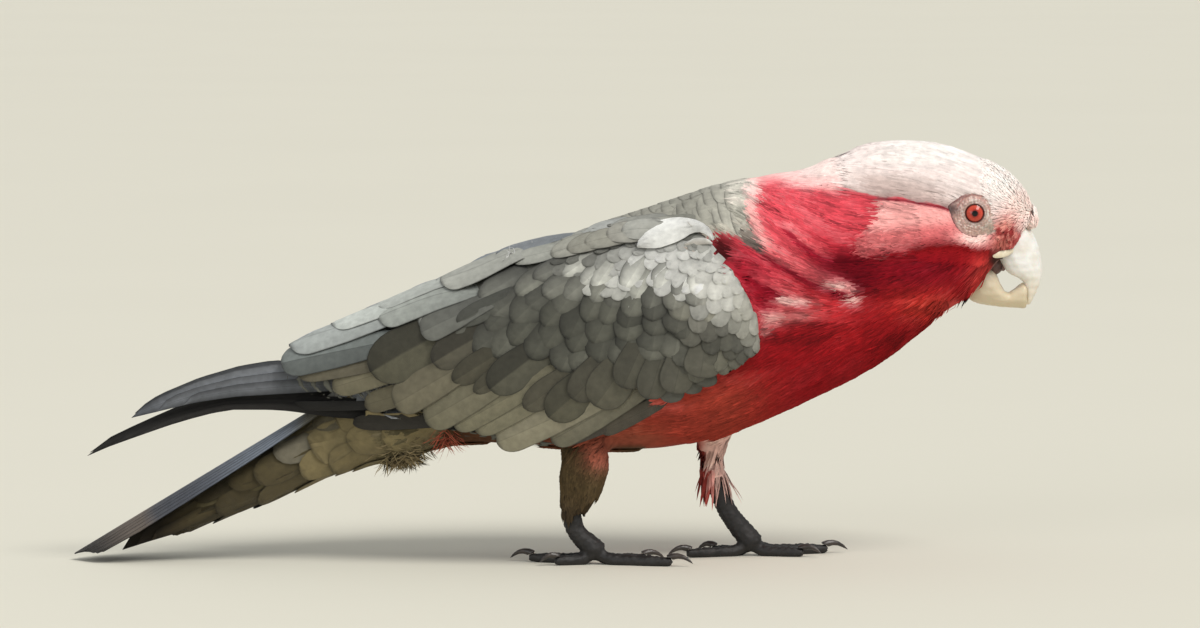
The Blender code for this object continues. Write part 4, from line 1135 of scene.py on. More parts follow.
def make_eye_ring(side, tag, eye_middle):
    """Bare wrinkled skin round the eye, with the edges of the lids over the eyeball."""
    turns, rings = 168, 34
    a = np.linspace(0, 2 * math.pi, turns, endpoint=False)
    edge = along(RING_SHAPE, np.degrees(a)) + 0.7
    opening = 3.15 * (1 - 0.04 * np.abs(np.sin(a))) + 0.05 * np.sin(5 * a + 1)
    t = np.linspace(0, 1, rings)[:, None] ** 1.25
    r = opening + (edge - opening) * t
    x, z = EYE_X + r * np.cos(a), EYE_Z + r * np.sin(a)
    inward = Vector((0, -side, 0))
    ground = np.array([side * SKIN_TREE.ray_cast(Vector((px * MM, side * 0.05, pz * MM)), inward)[0].y / MM
                       for px, pz in zip(x.ravel(), z.ravel())]).reshape(r.shape)
    eyeball = eye_middle + np.sqrt(EYE_RADIUS ** 2 - r.clip(0, 4.6) ** 2)
    start = eye_middle + np.sqrt(EYE_RADIUS ** 2 - opening ** 2) - 0.25
    y = start * (1 - t) + (ground[-1] - 0.55) * t + 0.85 * np.sin(math.pi * t ** 0.42) ** 0.9
    y = np.maximum(y, np.where(r < 4.2, eyeball + 0.10, -99))
    y = np.maximum(y, np.where(r > 4.2, ground + 0.30 - 0.85 * step(t, 0.86, 1.0), -99))
    y[0] = start
    creases = np.sin(2 * math.pi * r / 0.95 + 4.2 * wave(x, z, 1.9) + 1.5 * np.sin(2 * a))
    bumps = noise_of(np.stack((x, z, np.full_like(x, 3.0)), -1).reshape(-1, 3), 0.625).reshape(r.shape)
    y += (0.05 * creases + 0.03 * wave(r * 0.6, 9 * a, 1.0, 0.7) + 0.22 * bumps) * np.sin(math.pi * t) ** 0.5
    verts = np.concatenate([np.stack((x, side * (y - under), z), -1).reshape(-1, 3) for under in (0, 0.5)]) * MM
    top = np.arange(rings * turns).reshape(rings, turns)
    low = top + rings * turns
    top_next, low_next = np.roll(top, -1, 1), np.roll(low, -1, 1)
    quads = np.concatenate([np.stack(corners, -1).reshape(-1, 4) for corners in (
        (top[:-1], top_next[:-1], top_next[1:], top[1:]), (low[:-1], low[1:], low_next[1:], low_next[:-1]),
        (top[0], low[0], low_next[0], top_next[0]), (top[-1], top_next[-1], low_next[-1], low[-1]))])
    lumps = step(wave(x, z, 1.7, 0.8) + 1.3 * bumps, -0.15, 0.6)
    arcs = bell(r - 6.2, 0.3) + bell(r - 5.2, 0.22) * 0.6
    rear = step(-np.cos(a) - 0.3 * np.sin(a), -0.2, 0.5)
    tone = lay((190, 156, 146),
               ((212, 196, 188), lumps * (1 - step(r, 5.8, 7.6))), ((86, 54, 48), 1 - step(r, 3.2, 3.75)),
               ((150, 128, 120), between(r, 3.6, 3.9, 3.9, 4.6) * 0.8),
               ((176, 96, 90), capped(arcs) * step(np.sin(a), -0.3, 0.4) * 0.5),
               ((128, 96, 88), bell(r - edge + 1.2, 0.35) * step(np.sin(a), 0.3, 0.8) * 0.8),
               # Painted shadow at the ring's rear corner, where the dark line along the crown's edge meets it.
               ((112, 66, 66), bell(r - edge + 0.6, 0.5) * rear * 0.85),
               ((158, 144, 130), blob(x, z, EYE_X + 6.6, EYE_Z - 5.2, 3.6, 2.8) * 0.95),
               # Painted shadow in the rear corner of the ring.
               ((74, 50, 48), blob(x, z, EYE_X - 8.4, EYE_Z + 1.4, 3.0, 2.2) * 0.95))
    # Lighter on the raised bumps and darker in the creases: painted light and shade of the ring's relief.
    tone = (tone * (1 + 0.16 * bumps + 0.03 * creases)[..., None]).reshape(-1, 3)
    return mesh_piece(f"eye_ring_{tag}", verts, quads[:, ::side], BARE_SKIN, {}, np.concatenate((tone, tone)), "eye")


# ---------------------------------------------------------------- bill, cere, tongue, feet

def refined(node, name, voxel, smooth, material, slot, relief_of, grow=0.0):
    """A finer copy of a CAD node that keeps its outline, with an own relief in mm."""
    piece = node_copy(node, name)
    remesh(piece, voxel, smooth)
    swell(piece, grow + relief_of(points_of(piece) / MM, points_of(piece, "normal")))
    return hand_over(piece, material, slot, node)


def bill_relief(p, n):
    _, y, z = p.T
    layers = 0.05 * np.sin(z * 2.4 + 1.2 * np.sin(y * 0.5)) * step(112 - z, 0, 8)
    return layers + 0.10 * noise_of(p, 3.0) + 0.05 * noise_of(p, 0.9, 4)


def lower_bill_relief(p, n):
    """The front corners of the lower half stand up and close against the point of the upper half."""
    return bill_relief(p, n) + 0.45 * step(p[:, 0], 157.5, 160) + 0.35 * blob(p[:, 0], p[:, 2], 159, 95, 2.4, 2.0)


def fine_relief(p, n):
    return 0.04 * noise_of(p, 0.8)


def scaly(p, n):
    """Pebbled scales, larger on top of the toes, with flat pads underneath."""
    out = np.empty(len(p))
    for i, (q, m) in enumerate(zip(p, n)):
        near, _ = noise.voronoi(Vector((q[0], q[1], q[2] * 0.8)) / (2.1 if m[2] > 0.2 else 1.3))
        out[i] = min(near[1] - near[0], 0.45) / 0.45
    return (0.34 * out - 0.16) * step(p[:, 2], 0.5, 1.6)


# ---------------------------------------------------------------- tail and primaries

TAIL_START, TAIL_END = (-67.0, 62.8), (-166.8, 2.4)
TAIL_WIDE = (8.0, 11.5, 14.0, 15.2, 15.8, 15.5, 12.5, 4.0)
TAIL_DROOP = (1.5, 3.6, 5.4, 6.6, 7.6, 8.2, 7.1, 0.9)
LONG_ROWS = 22  # steps along a long feather


def along_tail(t, sizes):
    return np.interp(t, np.linspace(0, 1, len(sizes)), sizes)


def tail_place(t, y, sink):
    """A place on the tail: t along it, y across in mm, sink below the top feathers."""
    half = along_tail(t, TAIL_WIDE)
    y = np.clip(y, -half, half)
    below = along_tail(t, TAIL_DROOP) * (y / half) ** 2 + sink
    (x0, z0), (x1, z1) = TAIL_START, TAIL_END
    size = math.hypot(x1 - x0, z1 - z0)
    x, z = x0 + (x1 - x0) * t, z0 + (z1 - z0) * t
    return np.stack((x + below * (z1 - z0) / size, y, z + below * (x1 - x0) / size), -1)


def make_tail():
    v, u = np.linspace(0, 1, LONG_ROWS), across_steps(9)
    outline = np.minimum(1.0, 0.55 + 1.4 * v) * np.sqrt(1 - capped((v - 0.86) / 0.14) ** 2)
    outline[-1] = 0.12
    half_wide = 11.5 / 2 * outline * np.interp(v, (0, 0.4, 1), (0.55, 1, 1))
    tone = lay((140, 150, 164), ((74, 78, 88), step(v, 0.30, 0.66)), ((112, 100, 90), step(v, 0.70, 0.76)),
               ((48, 44, 40), step(v, 0.80, 0.96)), ((118, 110, 86), 1 - step(v, 0.15, 0.26)))
    shade = (1 - 0.45 * capped((np.abs(u) - 0.9) / 0.1)) * np.where(np.abs(u) < 0.01, 0.75, 1.0)
    grids, normals, patches = [], [], []
    for i in range(6):
        for side in (-1, 1):
            t = v * (1.0 - 0.012 * i - 0.002 * i * i)
            centre = side * (0.10 + 0.142 * i) * np.maximum(along_tail(t, TAIL_WIDE), 9.0 * (1 - v) + 4)
            y = centre[:, None] + half_wide[:, None] * u
            grid = tail_place(t[:, None], y, 0.28 * i + 0.10 * u ** 2 + 0.10 * side * u - 0.1 + 0 * y)
            up = unit(np.cross(np.gradient(grid, axis=1), np.gradient(grid, axis=0)))
            grids.append(grid * MM)
            normals.append(up * np.where(up[..., 2:] < 0, -1, 1))
            patches.append((0.05 + 0.075 * (2 * i + (side > 0)), 0.30))
    paint = np.broadcast_to(tone[:, None, :] * shade[None, :, None], (len(grids), LONG_ROWS, len(u), 3))
    return blades("tail_feathers", np.array(grids), np.array(normals), 0.26, patches, (0.06, 0.5), paint,
                  "dark_feather")


# Blades of long feathers: x, upper and lower edge, and distance from the middle, from the front backwards.
INNER_FINGER = ((-72, 70, 59, 14.5), (-96.6, 67.9, 57.6, 13.2), (-110, 65.8, 56.8, 12.2), (-124, 61.8, 54.8, 11),
                (-138, 56, 51.4, 10), (-146.4, 50.4, 49.4, 9.2))
OUTER_FINGER = ((-10, 47, 43.5, 21.5), (-34, 50, 45, 18.8), (-56, 55, 48.5, 15), (-76, 56.8, 49.5, 12.8),
                (-95, 57.4, 52.2, 11.2), (-114, 56.4, 52.2, 9.8), (-130, 52.8, 48, 8.6), (-145, 46.3, 42.8, 7.6),
                (-156, 41, 38.8, 7.1), (-161.8, 37, 36.2, 6.8))
UNDERTAIL_TIPS = ((-106, 34, 23, 7.5), (-120, 27, 14.8, 7.5), (-132, 19, 9.2, 7), (-142, 12.5, 6.2, 6),
                  (-150, 5.4, 3.6, 5))


def inner_tone(x, i):
    return lay(np.array((150, 154, 160)) * (1 - 0.08 * i), ((112, 116, 124), step(-x, 128, 146)))


def outer_tone(x, i):
    return np.array((40, 38, 36)) * (1 + 0.12 * i)


def undertail_tone(x, i):
    return lay((84, 74, 50), ((46, 38, 28), step(-x, 126, 142))) * (1 + 0.12 * i)


def finger(name, table, side, tone_at, tip_back):
    """Three long feathers stacked in one blade: each next one lies further out and reaches less far back."""
    table = np.array(table, float)[::-1]
    v, u = np.linspace(0, 1, LONG_ROWS), across_steps(7)
    shade = (1 - 0.4 * capped((np.abs(u) - 0.72) / 0.28)) * np.where(np.abs(u) < 0.01, 0.8, 1.0)
    grids, paints = [], []
    for i in range(3):
        x = table[-1, 0] + (table[0, 0] + tip_back * i - table[-1, 0]) * v
        upper, lower, out = (np.interp(x, table[:, 0], table[:, k]) for k in (1, 2, 3))
        taper = np.sqrt(1 - capped((v - 0.90) / 0.10) ** 2) if i else np.ones(LONG_ROWS)
        taper[-1] = 0.1
        high = lower + (upper - lower) * (1 - 0.27 * i) * taper
        z = (lower + high)[:, None] / 2 + ((high - lower) / 2)[:, None] * u
        y = out[:, None] - 0.18 * (z - lower[:, None]) + 0.45 * i - 0.12 * u ** 2
        grids.append(np.stack((x[:, None] + 0 * z, side * y, z + SEEN_FALL * y), -1) * MM)
        paints.append(tone_at(x[:, None], i) * shade[:, None] * np.ones((LONG_ROWS, 1, 1)))
    normals = np.broadcast_to(unit(np.array((0.0, side, 0.18))), np.shape(grids))
    patches = [(0.08 + 0.9 * i / 3, 0.3) for i in range(3)]
    return blades(name, np.array(grids), normals, 0.3, patches, (0.7 / 3, 0.5), np.array(paints), "dark_feather")


# ---------------------------------------------------------------- the making

SKIN = make_skin()
SKIN_TREE = tree_of(SKIN)

for SIDE, TAG in SIDES:
    make_eye_ring(SIDE, TAG, make_eye(SIDE, TAG))
    placed_feathers(f"flight_feathers_{TAG}", SIDE, FLIGHT, -0.35, 0.16, 14)
    placed_feathers(f"greater_coverts_{TAG}", SIDE, GREATER, 0.40, 0.34, under=1.1)
    make_median_coverts(SIDE, TAG)
    make_lesser_coverts(SIDE, TAG)
    for NAME, BLADE, TONE, BACK in (("inner_primaries_", INNER_FINGER, inner_tone, 9),
                                    ("outer_primaries_", OUTER_FINGER, outer_tone, 8)):
        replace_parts(finger(NAME + TAG, BLADE, SIDE, TONE, BACK), NAME + TAG)
    finger(f"undertail_tips_{TAG}", UNDERTAIL_TIPS, SIDE, undertail_tone, 5)
    refined(f"foot_{TAG}", f"foot_skin_{TAG}", 0.6, 3, FOOT, "foot_skin", scaly)
    for NUMBER in range(1, 5):
        refined(f"claw_{TAG}_{NUMBER}", f"claw_horn_{TAG}_{NUMBER}", 0.35, 3, CLAW, "claw", fine_relief)

UPPER = refined("bill_upper", "upper_bill", 0.42, 8, BILL, "bill", bill_relief, 0.05)
LOWER = refined("bill_lower", "lower_bill", 0.42, 8, LOWER_BILL, "bill", lower_bill_relief, 0.05)
PLACE = points_of(LOWER)
PLACE[:, 0] += MM * step(PLACE[:, 0] / MM, 156.5, 159.5)  # its front closes against the upper half
set_points(LOWER, PLACE)
CERE_SKIN = refined("cere", "cere_skin", 0.35, 4, CERE, "cere", fine_relief)
BILL_TREE = tree_of(UPPER, LOWER)


def make_jaw_edge(side, tag):
    """The cutting edge of the upper half, drawn back along the gape."""
    line, inward = [], Vector((0, -side, 0))
    for x, z in ((149.6, 106.0), (151.8, 106.6), (154.2, 106.9), (157.0, 107.6)):
        start = Vector((x, side * 40, z)) * MM
        hits = [tree.ray_cast(start, inward)[0] for tree in (SKIN_TREE, BILL_TREE)]
        line.append((x, side * (max([abs(hit.y) / MM for hit in hits if hit] + [4.0]) + 0.2), z))
    strip = ball(f"jaw_edge_{tag}", 16, 12)
    quarter_turn(strip, "Y", (0, 0, 0))
    p = points_of(strip)
    middle = np.stack([np.interp(p[:, 0], np.linspace(-1, 1, len(line)), part) for part in zip(*line)], 1)
    set_points(strip, (middle + p * (0.1, 0.9, 1.4)) * MM)
    hand_over(strip, JAW_EDGE, "bill")


for SIDE, TAG in SIDES:
    make_jaw_edge(SIDE, TAG)
TONGUE_SKIN = refined("tongue", "tongue_skin", 0.3, 4, TONGUE, "tongue", fine_relief)
PLACE = points_of(TONGUE_SKIN)
set_points(TONGUE_SKIN, PLACE + (PLACE - PLACE.mean(0)) * (0.12, 0.1, 0.25) + np.array((0.3, 0, 0.6)) * MM)
# The lining's dark colour is painted shade inside the open mouth.
LINING = ball("mouth_lining", 24, 16)  # the dark back of the mouth, up to the corner of the gape
set_points(LINING, (points_of(LINING) * (3.0, 5.0, 3.4) + (150.8, 0, 102.2)) * MM)
hand_over(LINING, GAPE, "tongue")
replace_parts(make_tail(), "tail")


# ---- where each piece of coat grows

def enclosed(tree, p):
    """True where a point (m) is inside a closed tree."""
    way, crossings, spot = Vector((0.31, 0.17, 0.93)).normalized(), 0, Vector(p)
    hit = tree.ray_cast(spot, way)[0]
    while hit is not None:
        crossings += 1
        hit = tree.ray_cast(hit + way * 1e-6, way)[0]
    return crossings % 2 == 1


def regions_of(p, level):
    """Where each piece grows, for points p (m) with level the upward part of their normals."""
    x, y, z = millimetres(p)
    out = np.abs(y)
    upper, lower = wing_edges(x)
    wing, grey, cap = on_wing(p), mantle(x, z), crown(x, z) > 0.5
    hidden = (x < 70) & (x > -94) & (z < upper - 2.5) & (z > lower + 2.5)
    mouth = (x > np.interp(z, (87, 92, 97, 101, 104), (140, 146, 148.8, 150.2, 150.6))) & (z < 104.6)
    bare = mouth | ((x > 149.4) & (x < 158) & (z < 107.3)) | ((ring_edge(p) < -0.2) & (out > 8))
    bare |= np.array([ahead > 140 and enclosed(BILL_TREE, spot) for ahead, spot in zip(x, p)])
    head = (z > 104) & (x > 128)
    rosy = ~head & ~cap & (grey < 0.5) & ~hidden & ~bare
    chin = ((x > 135.5) & (z < 94.5)) | ((x > 131) & (z < 97) & (out < 6))
    ankle = (z < 46) & (level < -0.3)
    return {
        "face_coat": head & ~bare & ~((x > 149.3) & (z < 109.0)),
        "crown_coat": ~head & cap & (grey < 0.4),
        "crest_plumes": (x > 112) & (x < 150) & (z > 124 + out * 0.1) & cap,
        "neck_coat": rosy & (z > 104),
        "throat_coat": rosy & (z <= 104) & (z > 78) & (x > 50) & ~chin,
        "breast_coat": rosy & (x > 30) & ((z <= 78) | ((x <= 50) & (z <= 104))) & ~(ankle & (x < 62)),
        "belly_coat": (x <= 30) & (x > -56) & (z <= 62) & ~hidden & (z < lower + 1) & ~(ankle & (out > 5)),
        "back_feathers": (x <= 2) & (x > -86) & (z > 50) & (level > 0.1) & (out < 26) & ~wing,
        "vent_feathers": (x < -46) & ((z < lower + 3) | (x < -90)) & (z < 58) & ~wing}


CORNERS = triangles_of(SKIN)
REGIONS = regions_of(sum(CORNERS) / 3, unit(np.cross(CORNERS[1] - CORNERS[0], CORNERS[2] - CORNERS[0]))[:, 2])


def by_face(near, far):
    """A size that grows from the bill backwards."""
    return lambda p: np.interp(p[:, 0] / MM, (128, 158), (far, near))


def face_stand(p):
    """How far in mm the ends of the face's tufts stand off: more on the forehead."""
    x, _, z = millimetres(p)
    return 0.25 + 0.5 * step(x, 146, 156) * step(z, 112, 122) + 0.5 * blob(x, z, 154.6, 112, 4, 5)


def throat_stand(p):
    """The ragged front of the throat and the beard under the chin."""
    x, _, z = millimetres(p)
    return 1.6 * blob(x, z, 135.0, 86.5, 5.0, 3.5) + 2.2 * blob(x, z, 147.5, 98.0, 3.0, 6.0)


def throat_length(p):
    """Short under the chin."""
    x, _, z = millimetres(p)
    return 9.0 - 6.0 * step(x, 128, 135) * (1 - step(z, 91, 97))


def belly_length(p):
    return np.where(p[:, 2] / MM < 42, 5.5, 9.0)


WHITE = {"slot": "white_plumage"}
coat("face_coat", 12400, by_face(2.8, 5.6), by_face(0.55, 0.85), by_face(0.34, 0.4), 11, 6, 0.0, 0.04, 0.03,
     stand=face_stand, **WHITE)
coat("crown_coat", 12400, 9, 1.0, 0.5, 12, 4, 0.02, 0.07, 0.02, **WHITE)
coat("crest_plumes", 3200, 16, 1.4, 0.85, 16, 3, 0.02, 0.06, 0.02, **WHITE)
coat("neck_coat", 12400, 9.5, 0.9, 0.46, 13, 5, 0.10, 0.22)
coat("throat_coat", 12400, throat_length, 0.9, 0.55, 17, 7, 0.18, 0.26, stand=throat_stand)
coat("breast_coat", 12400, 10.5, 1.2, 0.6, 14, 7, 0.14, 0.16)
coat("belly_coat", 11500, belly_length, 1.2, 0.7, 15, 8, 0.18, 0.16, dark=0.10)


def make_cere_tufts():
    """Bristle feathers round the cere."""
    corners = triangles_of(CERE_SKIN)
    spots, normals = scatter_on(corners, sum(corners)[:, 0] / 3 / MM < 165.4, 260, 51)
    n = len(spots)
    up = tangent(np.tile((-0.45, 0.0, 0.9), (n, 1)), normals)
    tone = lay((255, 242, 236), ((250, 218, 210), step(121 - spots[:, 2] / MM, 0, 4)))
    grow_tufts("cere_tufts", tree_of(CERE_SKIN), spots, up, RNG.uniform(1.6, 2.8, n), np.full(n, 0.5),
               np.full(n, 0.3), tone, 0.04, "white_plumage")


make_cere_tufts()


# ---- grey feathers of the mantle, back, rump and under the tail

def mantle_tone(p):
    x, _, z = millimetres(p)
    return lay((166, 164, 152),
               ((206, 203, 190), step(x, 40, 66)), ((84, 76, 70), blob(x, z, 68.5, 109, 5.5, 6.0, 1.6)),
               ((236, 222, 214), bell(along(MANTLE_EDGE, z) - x, 3.0) * step(z, 112, 118)))


def back_tone(p):
    x, _, z = millimetres(p)
    return lay((158, 160, 158), ((196, 200, 204), step(-x, 10, 50)), ((136, 144, 154), bell(x + 18, 14) * 0.9),
               ((116, 108, 84), step(62 - z, 0, 6) * step(-x, 55, 65)))


def vent_tone(p):
    x, _, z = millimetres(p)
    return lay((138, 124, 86), ((76, 66, 40), step(-x, 80, 99)), ((150, 148, 140), blob(x, z, -89, 44, 8, 5) * 0.9))


def make_mantle():
    """Rows of broad feathers that run parallel to the collar, each row lying over the one behind it."""
    placed, behind = [], 0.5
    for row in range(17):
        gap = 3.4 + 0.16 * row
        low_x, high_x = 70.5 - 0.52 * behind, 67.0 - behind
        apart = math.degrees(2.6 * gap / 31)
        for turn in np.arange(-78 + 0.5 * apart * (row % 2), 78.1, apart):
            way = Vector((0, math.sin(math.radians(turn)), math.cos(math.radians(turn))))
            x = high_x
            for _ in range(3):
                hit = SKIN_TREE.ray_cast(Vector((x, 0, 94)) * MM, way)[0]
                up = float(capped(((hit.z - SEEN_FALL * abs(hit.y)) / MM - 108) / 22)) ** 0.6
                x = low_x + (high_x - low_x) * up
            hit, normal = SKIN_TREE.ray_cast(Vector((x, 0, 94)) * MM, way)[:2]
            placed.append((*hit, *normal, 184 + 34 * (1 - up) * (1 if x > 40 else 0.4), gap))
        behind += gap
    placed = np.array(placed)
    x, _, z = millimetres(placed[:, :3])
    keep = (mantle(x, z) > 0.2) & (x > -2) & ((z > wing_edges(x)[0] - 4) | (x > 60)) & ~on_wing(placed[:, :3])
    placed = placed[keep]
    spots, normals, (lean, sizes) = placed[:, :3], placed[:, 3:6], placed[:, 6:].T
    n = len(spots)
    c, s = aim(lean)
    ahead = tangent(np.stack((c, np.zeros(n), s), 1), normals)
    ahead = unit(ahead + np.cross(normals, ahead) * RNG.normal(0, 0.02, n)[:, None])
    low_front = (spots[:, 0] / MM > 62) & (spots[:, 2] / MM < 112)
    length = sizes * 3.7 * RNG.uniform(0.94, 1.06, n) * np.where(low_front, 0.45, 1.0)
    tone = mantle_tone(spots) * RNG.uniform(0.97, 1.03, (n, 1))
    # The rims are darker (tone * 0.84), partly their own edge and partly painted shadow.
    body_feathers("mantle_feathers", spots - ahead * length[:, None] * MM, normals, ahead, length, sizes * 4.4,
                  np.full(n, 0.5), tone, tone * 0.84, unwrap(spots), 0.2, 10, 0.1, cols=9, slot="grey_plumage",
                  border=0.98, tip_edge=0.86)


make_mantle()
feather_tract("back_feathers", 6.5, 1.3, back_tone, 0.8, 32, 8, 0.12)
feather_tract("vent_feathers", 9.0, 1.4, vent_tone, 0.78, 33, 9, 0.1, turn=4, border=0.78)


def saddle_height(x, y):
    """Height of the folded feathers over the back, where the two wings meet."""
    apex, bottom, half = wing_at(x, 3, 4, 5)
    share = np.clip(np.abs(y) / half, 0, 0.98) ** (2 / WING_FULLNESS)
    return (apex + bottom) / 2 + (apex - bottom) / 2 * np.sqrt(1 - share) - 1.2 * bell(y, 5)


def make_saddle():
    """Long feathers that close the back between the wings, laid from the front backwards."""
    x, share, column, side = np.array([(x, share, column, side) for side in (-1, 1)
                                       for column, share in enumerate((0.80, 0.50, 0.17))
                                       for x in np.arange(8 - 5 * column, -62 + 6 * column, -11.0)]).T
    n = len(x)
    v, outline = vane_outline(11, 0.2)
    u = across_steps(5)
    length = np.where(x < -30, 30.0, 27.0) * RNG.uniform(0.92, 1.08, n)
    middle = np.stack((x - length * 0.6, np.zeros(n), np.full(n, 100.0)), 1) * MM
    patch = np.stack(((x + 70) / 90, 0.5 + side * share / 2.2), 1)
    x, share, column, side = (part[:, None, None] for part in (x, share, column, side))
    x = x - (length[:, None] * v)[:, :, None] + 0 * u
    room = wing_side(x, wing_edges(x)[0])
    y = side * share * room + 0.30 * room * outline[:, None] * u
    rise = (v - 1.0 - 2.4 * (1 - capped(v / 0.3)))[:, None] - 0.10 * u ** 2 - 0.35 * side * u + 0.25 * (2 - column)
    slope_x = saddle_height(x + 0.5, y) - saddle_height(x - 0.5, y)
    slope_y = saddle_height(x, y + 0.5) - saddle_height(x, y - 0.5)
    normals = unit(np.stack((-slope_x, -slope_y, np.ones_like(x)), -1))
    grid = np.stack((x, y, saddle_height(x, y) + SEEN_FALL * np.abs(y)), -1) + normals * rise[..., None]
    tone = back_tone(middle) * RNG.uniform(0.95, 1.05, (n, 1))
    # The rims are darker (tone * 0.84), partly their own edge and partly painted shadow.
    paint = vane_paint(tone, tone * 0.84, np.broadcast_to(v[:, None], x.shape), np.broadcast_to(u, x.shape))
    blades("saddle_feathers", grid * MM, normals, 0.24, patch, (0.03, 0.03), paint, "grey_plumage")


make_saddle()


def make_down(name, centre, count, spread, length, colour, seed, slot="grey_plumage"):
    """A tuft of loose down that stands out of the coat."""
    rng = np.random.default_rng(seed)
    roots = np.array(centre) + rng.normal(0, 1, (count, 3)) * spread
    spots, normals = hover_over(SKIN_TREE, roots * MM, np.full(count, 1.2))
    turn = rng.uniform(0, 2 * math.pi, count)
    ahead = tangent(np.stack((np.cos(turn) - 0.3, 0.6 * np.sin(turn), 0.4 * np.ones(count)), 1), normals)
    tone = np.array(colour) * rng.uniform(0.92, 1.02, (count, 1))
    grow_tufts(name, SKIN_TREE, spots, ahead, rng.uniform(0.5, 1.0, count) * length, np.full(count, 0.5),
               np.full(count, 1.6), tone, 0.1, slot, rng.uniform(1.0, 4.5, count))


make_down("back_down", (-18.5, -10, 113.6), 90, (2.4, 2.0, 0.5), 5.0, (240, 240, 238), 41)
make_down("vent_down", (-53, 0, 37), 420, (2.8, 7.0, 3.0), 6.0, (150, 134, 102), 42)
make_down("vent_wisps", (-38, -10, 42), 60, (1.6, 4.0, 0.8), 6.0, (186, 96, 76), 43, "rose_plumage")


# ---- the scapular pad that lies over the top of the wing

PAD = (  # from the rear forwards, in the columns of FLIGHT
    (-15.0, 105.4, -165, 24, 5.6, 0.5, 0.7, 1.0, 178, 179, 170),
    (-9.0, 109.4, -163, 22, 5.6, 0.3, 0.7, 1.0, 170, 172, 166),
    (-2.0, 107.6, -167, 22, 6.6, 0.7, 0.8, 1.0, 174, 173, 162),
    (1.5, 112.0, -163, 22, 5.6, 0.5, 0.7, 1.0, 166, 166, 158),
    (3.6, 108.4, -169, 20, 6.4, 0.9, 0.9, 1.0, 164, 162, 150),
    (9.6, 109.4, -170, 20, 6.6, 1.0, 0.9, 1.0, 168, 166, 154),
    (8.0, 114.0, -163, 20, 5.6, 0.7, 0.8, 1.0, 186, 188, 184),
    (17.2, 111.6, -173, 20, 7.4, 1.2, 0.9, 1.0, 174, 172, 162),
    (17.0, 116.0, -166, 22, 5.2, 0.9, 0.8, 1.0, 170, 170, 162),
    (22.4, 112.6, -174, 20, 7.2, 1.4, 0.9, 1.0, 186, 186, 178),
    (27.0, 117.0, -170, 20, 4.6, 1.0, 0.8, 1.0, 176, 175, 164))
# The low grey is painted shade on the lower side of each plume.
PLUMES = (  # curved feathers: centre line x, z from the root to the tip, half widths, base height, top and low grey
    (((53.4, 110.6), (52.0, 112.9), (49.0, 114.8), (45.5, 115.0), (42.0, 113.9), (38.0, 112.8), (34.0, 111.6),
      (30.5, 109.8), (27.6, 107.6)), (0.4, 1.2, 1.7, 2.6, 3.9, 4.3, 4.4, 3.2, 0.3), 1.6,
     (255, 255, 252), (236, 236, 231)),
    (((53.0, 109.3), (50.5, 110.0), (47.0, 109.9), (43.6, 108.7)), (0.3, 1.1, 1.2, 0.2), 0.8,
     (252, 250, 244), (236, 230, 220)),
    (((47.0, 106.4), (44.5, 107.6), (41.5, 108.4)), (0.3, 0.6, 0.2), 0.2, (238, 226, 214), (222, 206, 192)))


def make_plumes(side, tag):
    """Curved white feathers in front of the scapulars."""
    v, u = np.linspace(0, 1, 14), across_steps(9)
    grids, normals, paints = [], [], []
    for line, half, base, top, low in PLUMES:
        at = np.linspace(0, 1, len(line))
        middle = np.stack([np.interp(v, at, part) for part in zip(*line)])
        for _ in range(2):
            middle[:, 1:-1] = (middle[:, :-2] + 2 * middle[:, 1:-1] + middle[:, 2:]) / 4
        run = np.gradient(middle, axis=1)
        run /= np.hypot(*run)
        off = np.interp(v, at, half)[:, None] * u
        x, z = middle[0][:, None] + off * run[1][:, None], middle[1][:, None] - off * run[0][:, None]
        y = wing_side(x, z)
        normal = wing_normals(x, z, side)
        rise = base * np.minimum(1, v / 0.12)[:, None] ** 0.5 - 0.5 * u ** 2
        grids.append((np.stack((x, side * y, z + SEEN_FALL * y), -1) + normal * rise[..., None]) * MM)
        normals.append(normal)
        # Painted shade: the lower side of each plume is greyer than its top.
        paints.append(lay(top, (low, step(-u, -0.95, 0.5) * step(v, 0.06, 0.3)[:, None])))
    patch = np.stack((np.linspace(0.3, 0.8, len(grids)), np.full(len(grids), 0.5)), 1)
    blades(f"white_plumes_{tag}", np.array(grids), np.array(normals), 0.3, patch, (0.02, 0.02), np.array(paints),
           "white_plumage")


for SIDE, TAG in SIDES:
    placed_feathers(f"scapulars_{TAG}", SIDE, PAD, 0.2, 0.4, tree=SKIN_TREE)
    make_plumes(SIDE, TAG)


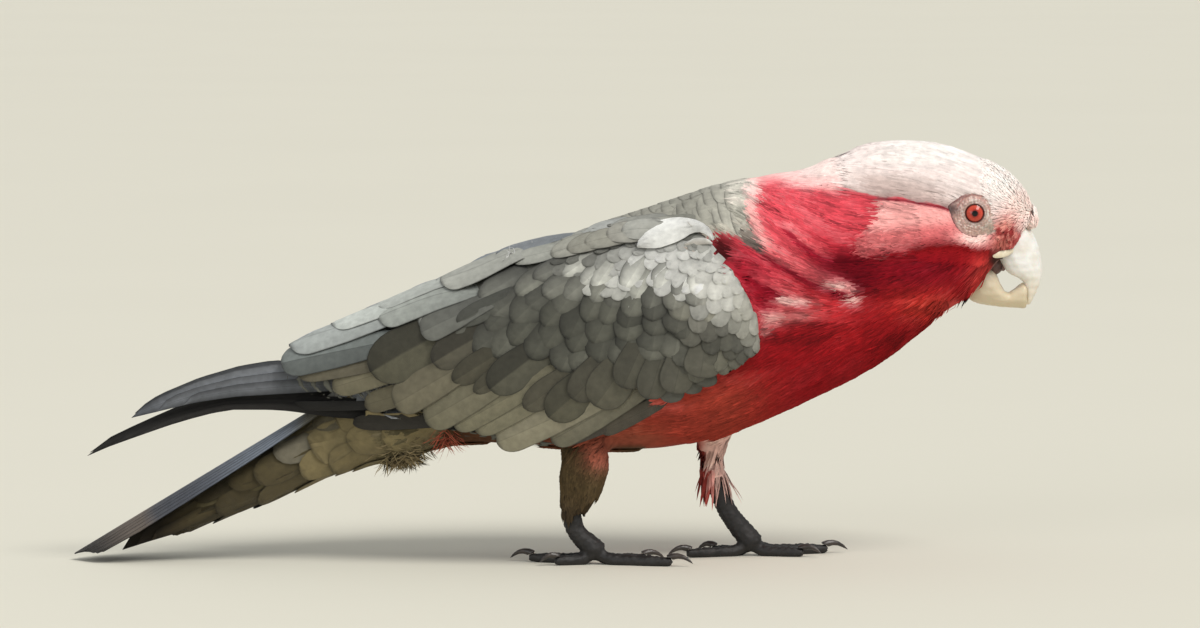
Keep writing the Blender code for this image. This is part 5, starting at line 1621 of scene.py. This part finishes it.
def settle(p):
    """The left wing is held a little lower along its top than the right one."""
    x, y, z = p.T / MM
    above = z - wing_edges(x)[0]
    drop = (1.3 + 1.6 * step(x, -46, -28)) * step(y, 0, 6) * step(above, -17, -4) * between(x, -100, -90, 4, 32)
    drop += 1.9 * step(above, -17, -3) * between(x, -46, -28, -4, 20)
    return p - np.stack((0 * x, 0 * x, drop * MM), 1)


for PIECE in bpy.data.objects:
    if PIECE.type == "MESH" and PIECE.data.color_attributes.get("plumage"):
        set_points(PIECE, settle(points_of(PIECE)))


# ---------------------------------------------------------------- floor, light, camera

def put(name, data, place=(0, 0, 0)):
    made = bpy.data.objects.new(name, data)
    bpy.context.scene.collection.objects.link(made)
    made.location = place
    return made


def lamp(name, kind, power, colour, facing, place=(0, 0, 0), **settings):
    data = bpy.data.lights.new(name, kind)
    for key, value in dict(settings, energy=power, color=colour).items():
        setattr(data, key, value)
    put(name, data, place).rotation_euler = Vector(facing).to_track_quat("-Z", "Y").to_euler()


def make_stage():
    bpy.ops.mesh.primitive_plane_add(size=60, location=(0, 0, 0))
    floor = bpy.context.object
    floor.name = "floor"
    floor.data.materials.append(plain_material("floor_paint", (222, 219, 205), (221, 218, 204), 3, 0.8, 0.01, 60))
    lamp("key", "SUN", 2.15, (1.0, 0.975, 0.93), (-0.62, 0.62, -1.0), angle=math.radians(28))
    lamp("fill", "AREA", 16, (0.95, 0.97, 1.0), (1.6, 2.2, -0.72), (-1.6, -2.2, 0.8), shape="DISK", size=1.6)
    world = bpy.data.worlds.new("studio")
    world.use_nodes = True
    background = world.node_tree.nodes["Background"]
    background.inputs["Color"].default_value = (0.92, 0.93, 0.92, 1)
    background.inputs["Strength"].default_value = 0.55
    bpy.context.scene.world = world
    bpy.context.scene.view_settings.view_transform = "Standard"


def make_camera():
    distance, tilt, shown = 2.5, math.radians(4), 0.414  # metres away, tilt down, metres across the view
    data = bpy.data.cameras.new("camera")
    data.sensor_width = 36
    data.lens = 36 * distance / shown
    rise = distance * math.sin(tilt)
    camera = put("camera", data, (SEEN_MIDDLE * MM, -distance * math.cos(tilt), 85.2 * MM + rise))
    camera.rotation_euler = (math.radians(90) - tilt, 0, 0)
    bpy.context.scene.camera = camera


make_stage()
make_camera()
